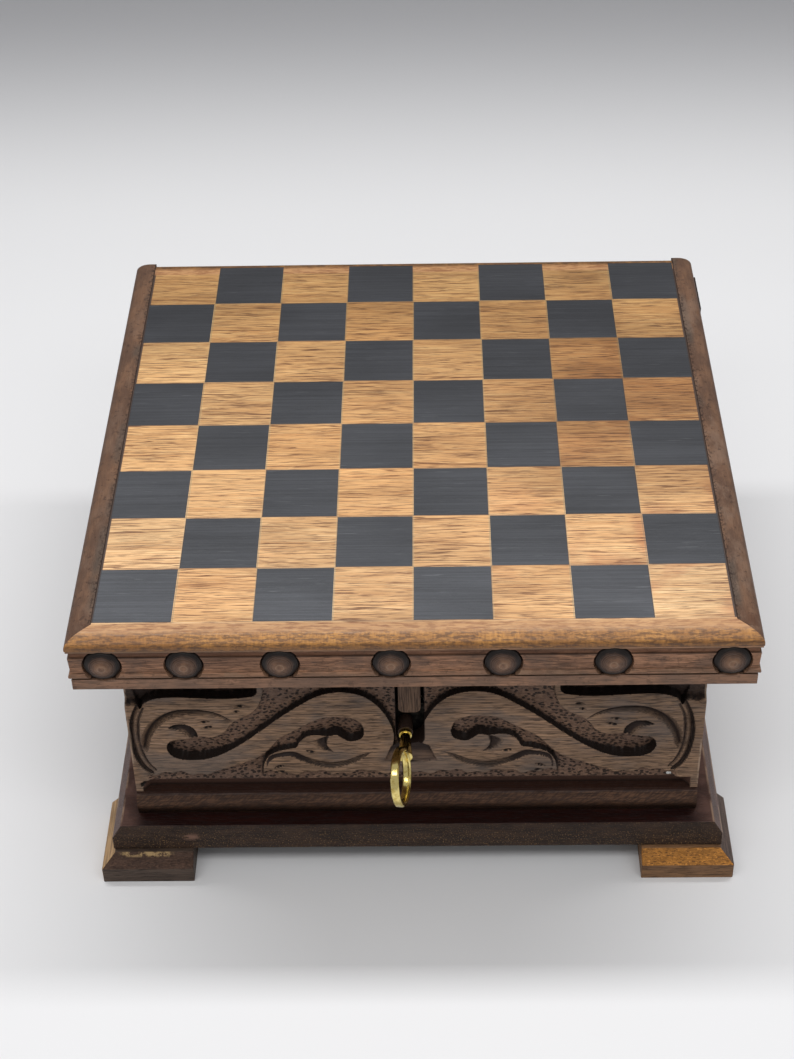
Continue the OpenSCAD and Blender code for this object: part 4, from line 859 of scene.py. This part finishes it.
LEAF_WALL = [(63.6, 12.5), (62.6, 17.0), (59.9, 19.6), (56.0, 20.8), (52.5, 20.2), (49.4, 18.2), (44.2, 15.2),
             (38.9, 13.4), (33.5, 13.6), (27.0, 15.8), (21.6, 19.6), (17.0, 24.0)]
LEAF_FADE = [(63.6, 12.5), (63.8, 18.0), (61.6, 21.8), (56.4, 23.4), (51.4, 23.8), (46.1, 20.6), (40.9, 18.4),
             (35.6, 17.5), (29.1, 18.8), (23.7, 21.6), (17.0, 24.0)]
THORN_WALL = [(36.2, 33.4), (37.4, 28.6), (36.2, 25.2), (33.0, 22.4)]
THORN_FADE = [(36.2, 33.4), (41.0, 31.6), (43.4, 29.4), (40.6, 25.0), (33.0, 22.4)]
NICKS = [((75.4, 50.6), (71.2, 50.9)), ((75.8, 47.4), (73.2, 48.0)), ((90.7, 41.4), (85.9, 42.2)),
         ((88.9, 38.4), (84.6, 39.2)), ((60.3, 13.9), (55.9, 15.4)), ((60.4, 11.2), (55.6, 11.6)),
         ((46.4, 24.0), (42.2, 23.0))]
V_CUTS = [
    # line, width, depth, lean, how blunt it starts and ends
    (BORDER, 3.3, 2.2, 0.3, 0.2, 0.25),
    (INNER_BORDER, 2.6, 1.5, -0.2, 0.15, 0.25),
    (OUTER_ARC, 4.8, 2.9, 0.1, 0.34, 0.0),
] + [([a, ((a[0] + b[0]) / 2, (a[1] + b[1]) / 2 + 0.2), b], 1.5, 1.2, 0.4, 0.15, 0.0) for a, b in NICKS]
STEEP_LINES = [smooth_line(line) for line in (LOBE_EDGE, LOWER_WALL, GROUND_WALL, COMMA_WALL, LEAF_WALL, THORN_WALL)]
COVE_HIGH, COVE_DEEP, COVE_END = 6.4, 4.0, 118.0
SLOT_X, SLOT_R, SLOT_LOW = -2.2, 6.0, 65.7
SLOT_HOLLOW = [(0, 28), (5.0, 28.4), (8.2, 26.8), (9.6, 22.8), (11.5, 17.6), (5, 16.9), (0, 16.7)]


def scattered(u, v, pitch, long, wide, seed, turn=1.2):
    """Depths of short punch marks, one in each square of a grid, moved, turned and sized at random."""
    best = np.zeros(u.shape)
    i0, j0 = np.floor(u / pitch), np.floor(v / pitch)
    for di in (-1, 0, 1):
        for dj in (-1, 0, 1):
            i, j = i0 + di, j0 + dj
            k = np.sin(i * 127.1 + j * 311.7 + seed) * 43758.5453
            a = k - np.floor(k)
            k = np.sin(i * 269.5 + j * 183.3 + seed) * 24634.6345
            b = k - np.floor(k)
            angle = (a - b) * turn
            du, dv = u - (i + 0.15 + 0.7 * a) * pitch, v - (j + 0.15 + 0.7 * b) * pitch
            x = (du * np.cos(angle) + dv * np.sin(angle)) / (long * (0.6 + 0.8 * b))
            y = (dv * np.cos(angle) - du * np.sin(angle)) / (wide * (0.7 + 0.6 * a))
            best = np.maximum(best, (0.5 + 0.5 * b) * np.clip(1 - x * x - y * y, 0, 1) ** 0.7)
    return best


def half_carving(u, v, seed):
    """The carving of one half: depth, punched ground, and painted shade that is partly grime."""
    sweep, _, sweep_along, sweep_away = hollow(u, v, LOBE_EDGE, UPPER_FADE, 4.9, 0.30)
    climb, _, climb_along, climb_away = hollow(u, v, LOWER_WALL, LOWER_FADE, 4.4, 0.22)
    # both are deepest round their eyes, and the lower one runs out at the cove
    sweep = sweep * (1 - 0.42 * ease((np.hypot(u - 97, v - 27) - 9) / 14))
    climb = climb * (1 - 0.40 * ease((np.hypot(u - 27.5, v - 36.5) - 7) / 12)) * ease((v - COVE_HIGH) / 4.5)
    ground = hollow(u, v, GROUND_WALL, GROUND_FADE, 4.8, 0.7)[0]
    strip_top = 11.2 + 0.9 * np.sin(u * 0.31 + seed) + 0.6 * np.sin(u * 0.83)
    strip = 1.5 * ease((strip_top - v) / 1.6) * ease((u - 3) / 3) * ease((116.5 - u) / 5)
    corner = 3.2 * ease((u - 111.5) / 3.0) * ease((v - 51.0 + 0.6 * np.sin(u * 1.1 + seed)) / 3.0)
    punched = np.maximum.reduce([ease(sweep / 1.0), ease(climb / 1.0), ease(strip / 0.8), 0.5 * ease(corner)])
    marks = np.where(sweep > climb, scattered(sweep_along, sweep_away, 1.8, 0.85, 0.5, seed, 0.6),
                     scattered(climb_along, climb_away, 1.8, 0.85, 0.5, seed, 0.6))
    marks = np.where(np.maximum(sweep, climb) > 0.3, marks, scattered(u, v, 1.8, 0.75, 0.55, seed))
    depth = np.maximum.reduce([sweep, climb, ground, strip, corner])
    # mostly painted shade, partly grime: near-black in the ground band under the lid, darker at the foot of steep
    # walls, in the V cuts, and in the comma, leaf and thorn hollows
    grime_and_shade = np.where(ground > 0.2, 0.75, 0.6 * ease(corner / 2.4))
    for cut, away in ((sweep, sweep_away), (climb, climb_away)):
        grime_and_shade = np.maximum(grime_and_shade, np.where(cut > 0.3, 0.6 * ease(1.1 - away / 1.8), 0))
    for v_cut in V_CUTS:
        cut, dark = gouge(u, v, *v_cut)
        grime_and_shade = np.maximum(grime_and_shade, np.where((cut > depth) & (cut > 0.1), 0.25 + 0.7 * dark ** 3, 0))
        depth = np.maximum(depth, cut)
    for wall, fade, deep, steep, dark in (
            (COMMA_WALL, COMMA_FADE, 3.2, 0.55, 0.9),
            (LEAF_WALL, LEAF_FADE, 2.6, 2.0, 0.5 + 0.4 * ease((u - 43) / 8)),
            (THORN_WALL, THORN_FADE, 2.4, 1.4, 0.7)):
        cut, near, _, _ = hollow(u, v, wall, fade, deep, steep=steep)
        grime_and_shade = np.maximum(grime_and_shade, np.where(cut > depth, 0.25 + (dark - 0.25) * ease((near - 0.1) / 0.3), 0))
        depth = np.maximum(depth, cut)
    rough = 0.22 * np.sin(u * 1.7 + 2.1 * np.sin(v * 0.9)) * np.sin(v * 1.9 + seed)
    return depth + punched * (0.4 * marks + rough), punched, grime_and_shade


# %% [markdown]
# ## Halves on a wall
# Both halves of a wall use the same outlines. On the front the halves aren't quite equal: the right one is a
# little wider and starts nearer the middle. Before the grid is pushed in, its points near a steep wall are
# moved onto that wall's edge, so that the edge is a clean line and not a staircase.

# %% Halves on a wall
FRONT_SPREAD, FRONT_START, FRONT_PARTING = 1.033, 7.3, -2.2
SNAP_SHARE = 0.45


def drawn(x, front, scale):
    """The outlines' u for a place x on the wall, and how much x changes with it."""
    if front:
        left = x < FRONT_PARTING
        return np.where(left, -x, (x + FRONT_START) / FRONT_SPREAD), np.where(left, -1.0, FRONT_SPREAD)
    return np.abs(x) / scale, np.sign(x) * scale


def snapped(x, v, fixed, step, front, scale):
    """The grid's points, with those near a steep wall moved onto its edge."""
    u, rate = drawn(x, front, scale)
    for line in STEEP_LINES:
        away, _, _, near_u, near_v = from_line(line, u, v)
        close = (away < SNAP_SHARE * step) & ~fixed
        x = np.where(close, x + (near_u - u) * rate, x)
        u, v = np.where(close, near_u, u), np.where(close, near_v, v)
    return x, v


def wall_carving(x, v, front, scale=1.0, seed=1.0):
    """What half_carving gives for the whole wall, and how much of a point is in the smooth cove or hollow."""
    depth, punched, grime_and_shade = half_carving(drawn(x, front, scale)[0], v, seed)
    smooth = np.zeros(x.shape)
    if front:
        halves = ((1, SLOT_HOLLOW), (-1, SLOT_HOLLOW[::-1]))
        ring = np.array([(SLOT_X + sign * a, b) for sign, line in halves for a, b in line])
        bowl = np.where(within(ring, x, v), 2.2 * ease(from_line(np.vstack([ring, ring[:1]]), x, v)[0] / 1.6), 0)
        cove = COVE_DEEP * np.sqrt(np.clip(1 - (v / COVE_HIGH) ** 2, 0, 1)) * ease((COVE_END - np.abs(x)) / 4.0) ** 0.5
        nick = ease(1.6 - np.hypot(x + 117.6, v - 4.0))
        in_cove, in_bowl = (v < COVE_HIGH) & (np.abs(x) < COVE_END), bowl > 0.1
        smooth = np.where(in_cove, 1.0, np.where(in_bowl, 0.45, 0.0))
        depth = np.maximum(np.where(in_cove, cove, np.where(in_bowl, bowl, depth)), 2.5 * nick)
        # painted shade: darker towards the foot of the cove by the bead, in the bowl towards the slot above it, and in
        # the nick
        grime_and_shade = np.where(in_cove, 0.7 * ease((2.6 - v) / 2.6), grime_and_shade)
        grime_and_shade = np.maximum(np.where(in_bowl, 0.15 + 0.6 * ease((v - 19) / 5), grime_and_shade), nick)
    return np.maximum(depth, 0), punched * (smooth == 0), grime_and_shade, smooth


print("carving: steep lines", len(STEEP_LINES), "V cuts", len(V_CUTS))

# %% [markdown]
# ## Carved boards
# A carved wall is a fine grid, pushed in by the field, whose rim is then drawn back to the inner face and
# closed. Openings, such as the slot for the tongue and the window of a drawer, are squares left out of the
# grid before that, with grid lines laid exactly on their edges. The round end of the slot is steps at first,
# so its rim is moved onto the circle, and the inside of the slot is painted dark as shade.

# %% Carved boards
STEP = 0.46
LEAST_THICK = 1.5
ROUND_REACH = 0.75


def lines_through(marks, step):
    """Grid lines no further apart than step that pass through each mark."""
    parts = [np.linspace(a, b, max(2, int(math.ceil((b - a) / step)) + 1))[:-1] for a, b in zip(marks[:-1], marks[1:])]
    return np.r_[np.concatenate(parts), marks[-1]]


def to_piece(shape, name, material, sharp=None):
    """Makes an object of a bmesh. It is smooth, but sharp where faces meet at more than an angle in degrees."""
    mesh = bpy.data.meshes.new(name)
    shape.to_mesh(mesh)
    shape.free()
    mesh.polygons.foreach_set("use_smooth", np.ones(len(mesh.polygons), bool))
    if sharp is not None:
        mesh.set_sharp_from_angle(angle=math.radians(sharp))
    mesh.materials.append(material)
    piece = bpy.data.objects.new(name, mesh)
    scene.collection.objects.link(piece)
    print(name, "triangles:", sum(len(p.vertices) - 2 for p in mesh.polygons))
    return piece


def round_off(sheet, shade, cx, cz, r):
    """Moves the rim of a round opening onto its circle, and paints shade on the rim of the slot above it."""
    for vert in [vert for vert in sheet.verts if vert.is_boundary]:
        away = math.hypot(vert.co.x - cx, vert.co.y - cz)
        if vert.co.y <= cz and abs(away - r) < ROUND_REACH:
            k = r / max(away, 1e-6)
            vert.co.x, vert.co.y = cx + (vert.co.x - cx) * k, cz + (vert.co.y - cz) * k
        if abs(vert.co.x - cx) < r + 0.01 and vert.co.y > cz - r - 0.01:
            vert[shade] = 1.0


def carved_board(name, material, u_marks, v_marks, place, thick, snap, carve, opening=None, round_end=None):
    """A closed board with a carved face. place turns (u, v, depth) in mm into a point."""
    us, vs = lines_through(u_marks, STEP), lines_through(v_marks, STEP)
    nu, nv = len(us), len(vs)
    gu, gv = np.meshgrid(us, vs)
    fixed = np.isin(gu, u_marks) | np.isin(gv, v_marks)
    gu, gv = snap(gu, gv, fixed)
    fields = carve(gu, gv)
    sheet = bmesh.new()
    bmesh.ops.create_grid(sheet, x_segments=nu - 1, y_segments=nv - 1, size=0.5)
    layers = [sheet.verts.layers.float.new(label) for label in ("punch", "shade", "cove")]
    steep = sheet.faces.layers.float.new("wall")
    for vert in sheet.verts:
        i, j = round((vert.co.x + 0.5) * (nu - 1)), round((vert.co.y + 0.5) * (nv - 1))
        for layer, field in zip(layers, fields[1:]):
            vert[layer] = field[j, i]
        vert.co = (gu[j, i], gv[j, i], min(fields[0][j, i], thick - LEAST_THICK))
    if opening is not None:
        gone = [face for face in sheet.faces if opening(*face.calc_center_median().xy)]
        bmesh.ops.delete(sheet, geom=gone, context="FACES")
    if round_end is not None:
        round_off(sheet, layers[1], *round_end)
    sheet.normal_update()
    for face in sheet.faces:
        face[steep] = (1 - abs(face.normal.z)) * (1 - face.verts[0][layers[2]])
    rim = [edge for edge in sheet.edges if edge.is_boundary]
    drawn_back = bmesh.ops.extrude_edge_only(sheet, edges=rim)["geom"]
    for vert in [g for g in drawn_back if isinstance(g, bmesh.types.BMVert)]:
        vert.co.z = thick
    back_edges = [g for g in drawn_back if isinstance(g, bmesh.types.BMEdge)]
    bmesh.ops.contextual_create(sheet, geom=back_edges)
    bmesh.ops.triangulate(sheet, faces=[face for face in sheet.faces if len(face.verts) > 4])
    for vert in sheet.verts:
        vert.co = Vector(place(*vert.co)) * MM
    bmesh.ops.recalc_face_normals(sheet, faces=sheet.faces)
    return to_piece(sheet, name, material, sharp=55)


# %% [markdown]
# ## Front wall
# The front is one board with the slot for the lid's tongue. The slot is open at the top and round at the
# bottom.

# %% Front wall
front_low, front_high = mm_of("front_panel")
wall_foot, wall_tall = front_low[2], front_high[2] - front_low[2]
slot_centre = SLOT_LOW + SLOT_R - wall_foot


def in_slot(u, v):
    return abs(u - SLOT_X) < SLOT_R and (v > slot_centre or math.hypot(u - SLOT_X, v - slot_centre) < SLOT_R)


front_wall = carved_board(
    "front_wall", woods["carved walnut"],
    [front_low[0], -COVE_END, SLOT_X - SLOT_R, SLOT_X + SLOT_R, COVE_END, front_high[0]],
    [0, COVE_HIGH, slot_centre, wall_tall],
    lambda u, v, d: (u, front_low[1] + d, wall_foot + v), front_high[1] - front_low[1],
    lambda u, v, fixed: snapped(u, v, fixed, STEP, True, 1.0),
    lambda u, v: wall_carving(u, v, True), in_slot, (SLOT_X, slot_centre, SLOT_R))
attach(front_wall, "case")
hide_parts("front_panel")

# %% [markdown]
# ## Side walls and drawer fronts
# The carving of a side runs on over the drawer front, so both are cut from the same field: the wall with a
# window left out, and the drawer front from the part that fills it.

# %% Side walls and drawer fronts
WINDOW_GAP = 0.4
for side, sign in (("left", -1), ("right", 1)):
    (xa, y0, _), (xb, y1, _) = mm_of(side + "_side_panel")
    (_, d0, dz0), (_, d1, dz1) = mm_of(side + "_drawer_front")
    face_x, thick = (xa if sign < 0 else xb), xb - xa
    window = (d0 - WINDOW_GAP, d1 + WINDOW_GAP, dz1 + WINDOW_GAP - wall_foot)
    scale = y1 / HALF_CASE
    rules = (
        lambda u, v, d: (face_x - sign * d, sign * u, wall_foot + v), thick,
        lambda u, v, fixed: snapped(u, v, fixed, STEP, False, scale),
        lambda u, v: wall_carving(u, v, False, scale, 2.0 + sign))
    walnut_side = woods["carved walnut side"]
    wall = carved_board(side + "_wall", walnut_side, [y0, window[0], window[1], y1], [0, window[2], wall_tall], *rules,
                        lambda u, v: window[0] < u < window[1] and v < window[2])
    front = carved_board(side + "_carved_front", walnut_side, [d0, d1], [dz0 - wall_foot, dz1 - wall_foot], *rules)
    for piece, body, node in ((wall, "case", side + "_side_panel"), (front, side + "_drawer", side + "_drawer_front")):
        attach(piece, body)
        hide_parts(node)

# %% [markdown]
# ## Rosettes
# A rosette is face-turned: a low dome with rings cut in it, and its rim was burnt by friction while it was
# still on the lathe. So it is one profile spun round, and all of a row's rosettes are copies of it, set where
# the solids of the row are. Each vertex keeps its distance from the middle, which colours the rings, darkens
# the dome towards its edge as painted shade, and makes the rim near-black, burnt and partly painted shade.

# %% Rosettes
ROSETTE_RINGS = [(7.7, 0.0), (7.7, 0.5), (7.5, 0.95), (7.0, 1.4), (6.3, 1.9), (5.5, 2.3), (4.8, 2.6), (4.65, 2.55),
                 (4.5, 2.75), (3.8, 3.0), (3.15, 3.2), (3.0, 3.15), (2.85, 3.3), (2.1, 3.5), (1.75, 3.55),
                 (1.6, 3.65), (0.9, 3.75), (0.0, 3.8)]
TURNS = 48
GAP_IN_ROW = 5


def turned(name):
    """The mesh of one rosette, standing on its seat with its axis up."""
    lathe = bmesh.new()
    line = [lathe.verts.new((r * MM, 0, h * MM)) for r, h in ROSETTE_RINGS]
    edges = [lathe.edges.new(pair) for pair in zip(line[:-1], line[1:])]
    bmesh.ops.spin(lathe, geom=line + edges, cent=(0, 0, 0), axis=(0, 0, 1), dvec=(0, 0, 0), angle=2 * math.pi,
                   steps=TURNS, use_merge=True, use_normal_flip=False, use_duplicate=False)
    bmesh.ops.remove_doubles(lathe, verts=lathe.verts, dist=0.005 * MM)
    bmesh.ops.contextual_create(lathe, geom=[edge for edge in lathe.edges if edge.is_boundary])
    bmesh.ops.recalc_face_normals(lathe, faces=lathe.faces)
    ring = lathe.verts.layers.float.new("ring")
    for vert in lathe.verts:
        vert[ring] = math.hypot(vert.co.x, vert.co.y) * 1000
    mesh = bpy.data.meshes.new(name)
    lathe.to_mesh(mesh)
    lathe.free()
    return mesh


def middles(node, axis):
    """The middle of each solid of a row, along the row: the solids are the runs with a gap between them."""
    places = np.sort([vert.co[axis] * 1000 for vert in nodes[node].data.vertices])
    starts = np.r_[0, np.flatnonzero(np.diff(places) > GAP_IN_ROW) + 1]
    ends = np.r_[starts[1:] - 1, len(places) - 1]
    return (places[starts] + places[ends]) / 2


turned_walnut, place, shader = new_material("turned walnut")
ring = painted(place, "ring")
uneven = noise(place, 330, 4, 0.6)
wave = calc("SINE", ring * 9.0) * 0.5
light_ring = span(ring, 1.1, 1.4) * span(ring, 1.7, 2.0, 1.0, 0.0)
give(shader, {
    "Base Color": coats(
        tint(span(uneven, 0.38, 0.62), (0.225, 0.120, 0.070), (0.125, 0.066, 0.041)),
        # painted shade: the dome darker from the middle towards its edge
        (span(ring, 0.8, 5.8), (0.040, 0.022, 0.016)),
        (span(wave, -0.1, 0.5, 0.0, 0.22), (0.20, 0.115, 0.075)),
        (light_ring * 0.5, (0.26, 0.165, 0.11)),
        # the rim near-black: burnt, and partly painted shade
        (span(ring + uneven * 2.0, 5.8, 7.2), (0.009, 0.0055, 0.0045))),
    "Normal": relief(wave, 0.06),
    "Roughness": 0.42,
    "Specular IOR Level": 0.25})

one = turned("rosette")
for side, outward, row_axis in (("front", (0, -1, 0), 0), ("left", (-1, 0, 0), 1), ("right", (1, 0, 0), 1)):
    name = side + "_rosettes"
    low, high = mm_of(name)
    seat = [(high if outward[a] < 0 else low)[a] for a in range(3)]
    stand = Vector(outward).to_track_quat("Z", "Y").to_matrix().to_4x4()
    row = bmesh.new()
    for middle in middles(name, row_axis):
        spot = Vector((seat[0], seat[1], (low[2] + high[2]) / 2))
        spot[row_axis] = middle
        row.from_mesh(one)
        fresh = row.verts[-len(one.vertices):]
        bmesh.ops.transform(row, matrix=Matrix.Translation(spot * MM) @ stand, verts=fresh)
    piece = to_piece(row, "turned_" + name, turned_walnut, sharp=40)
    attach(piece, "lid")
    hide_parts(name)
bpy.data.meshes.remove(one)

# %% [markdown]
# ## Studio
# The box stands on a pale sheet that sweeps up behind it. Its colour darkens towards the back, which is painted
# shade of the light falling off. The sheet is clear when it is seen from its back, so that the box can also be
# looked at from there.

# %% Sweep
SHEET_FRONT, SHEET_BEND, BEND_R, SHEET_TOP, SHEET_HALF = -3.0, 0.9, 0.5, 4.0, 4.0


def sweep_sheet(material):
    """A floor that bends up into a wall, drawn as one line and pulled sideways."""
    sheet = bmesh.new()
    line = [(SHEET_FRONT, 0.0), (SHEET_BEND, 0.0)]
    line += [(SHEET_BEND + BEND_R * math.sin(a), BEND_R - BEND_R * math.cos(a))
             for a in np.linspace(0.1, math.pi / 2, 14)]
    line += [(SHEET_BEND + BEND_R, SHEET_TOP)]
    verts = [sheet.verts.new((-SHEET_HALF, y, z)) for y, z in line]
    edges = [sheet.edges.new(pair) for pair in zip(verts[:-1], verts[1:])]
    pulled = bmesh.ops.extrude_edge_only(sheet, edges=edges)["geom"]
    pulled = [g for g in pulled if isinstance(g, bmesh.types.BMVert)]
    bmesh.ops.translate(sheet, vec=(2 * SHEET_HALF, 0, 0), verts=pulled)
    sheet.normal_update()
    bmesh.ops.reverse_faces(sheet, faces=[face for face in sheet.faces if face.normal.z - face.normal.y < 0])
    return to_piece(sheet, "sweep", material)


paper, place, shader = new_material("paper")
# painted shade: the sheet's colour darkens towards the back
give(shader, {"Base Color": tint(span(xyz(place)[1], 0.41, 0.78), (0.80, 0.80, 0.81), (0.42, 0.42, 0.435)),
              "Roughness": 0.7, "Specular IOR Level": 0.2})
tree = place.tree
one_sided = new_node(tree, "ShaderNodeMixShader", Fac=put(tree, "ShaderNodeNewGeometry", "Backfacing"))
fill(one_sided.inputs[1], Value(tree.nodes["Principled BSDF"].outputs[0]))
fill(one_sided.inputs[2], put(tree, "ShaderNodeBsdfTransparent"))
fill(tree.nodes["Material Output"].inputs["Surface"], Value(one_sided.outputs[0]))
sweep_sheet(paper)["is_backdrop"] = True

# %% [markdown]
# ## Light
# A long lamp above and a little behind gives the short soft shadow in front. A second, wide lamp in front of the
# box fills its front and makes the near squares brighter than the far ones, and a pale sky fills the rest.

# %% Lamps and sky
SKY = 0.455
LAMPS = [
    # name, width and depth in metres, watts, place, what it points at
    ("long lamp", 1.8, 0.12, 8.6, (0, 0.205, 1.0), (0, 0, 0.1)),
    ("front lamp", 1.2, 0.25, 3.2, (0, -0.55, 0.85), (0, -0.05, 0.1)),
]
for name, wide, deep, watts, spot, target in LAMPS:
    lamp = bpy.data.lights.new(name, "AREA")
    lamp.shape = "RECTANGLE"
    lamp.size, lamp.size_y, lamp.energy = wide, deep, watts
    stand = bpy.data.objects.new(name, lamp)
    stand.location = spot
    stand.rotation_mode = "QUATERNION"
    stand.rotation_quaternion = (Vector(target) - Vector(spot)).to_track_quat("-Z", "Y")
    scene.collection.objects.link(stand)

world = bpy.data.worlds.new("sky")
scene.world = world
world.use_nodes = True
give(world.node_tree.nodes["Background"].inputs, {"Color": (1.0, 1.0, 1.0), "Strength": SKY})

# %% [markdown]
# ## Sizes
# The dressed box has to be as large as its solids, so its size is printed here.

# %% Sizes and end
low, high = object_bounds()
print("visual box, mm:", [round(v * 1000, 1) for v in low], [round(v * 1000, 1) for v in high])
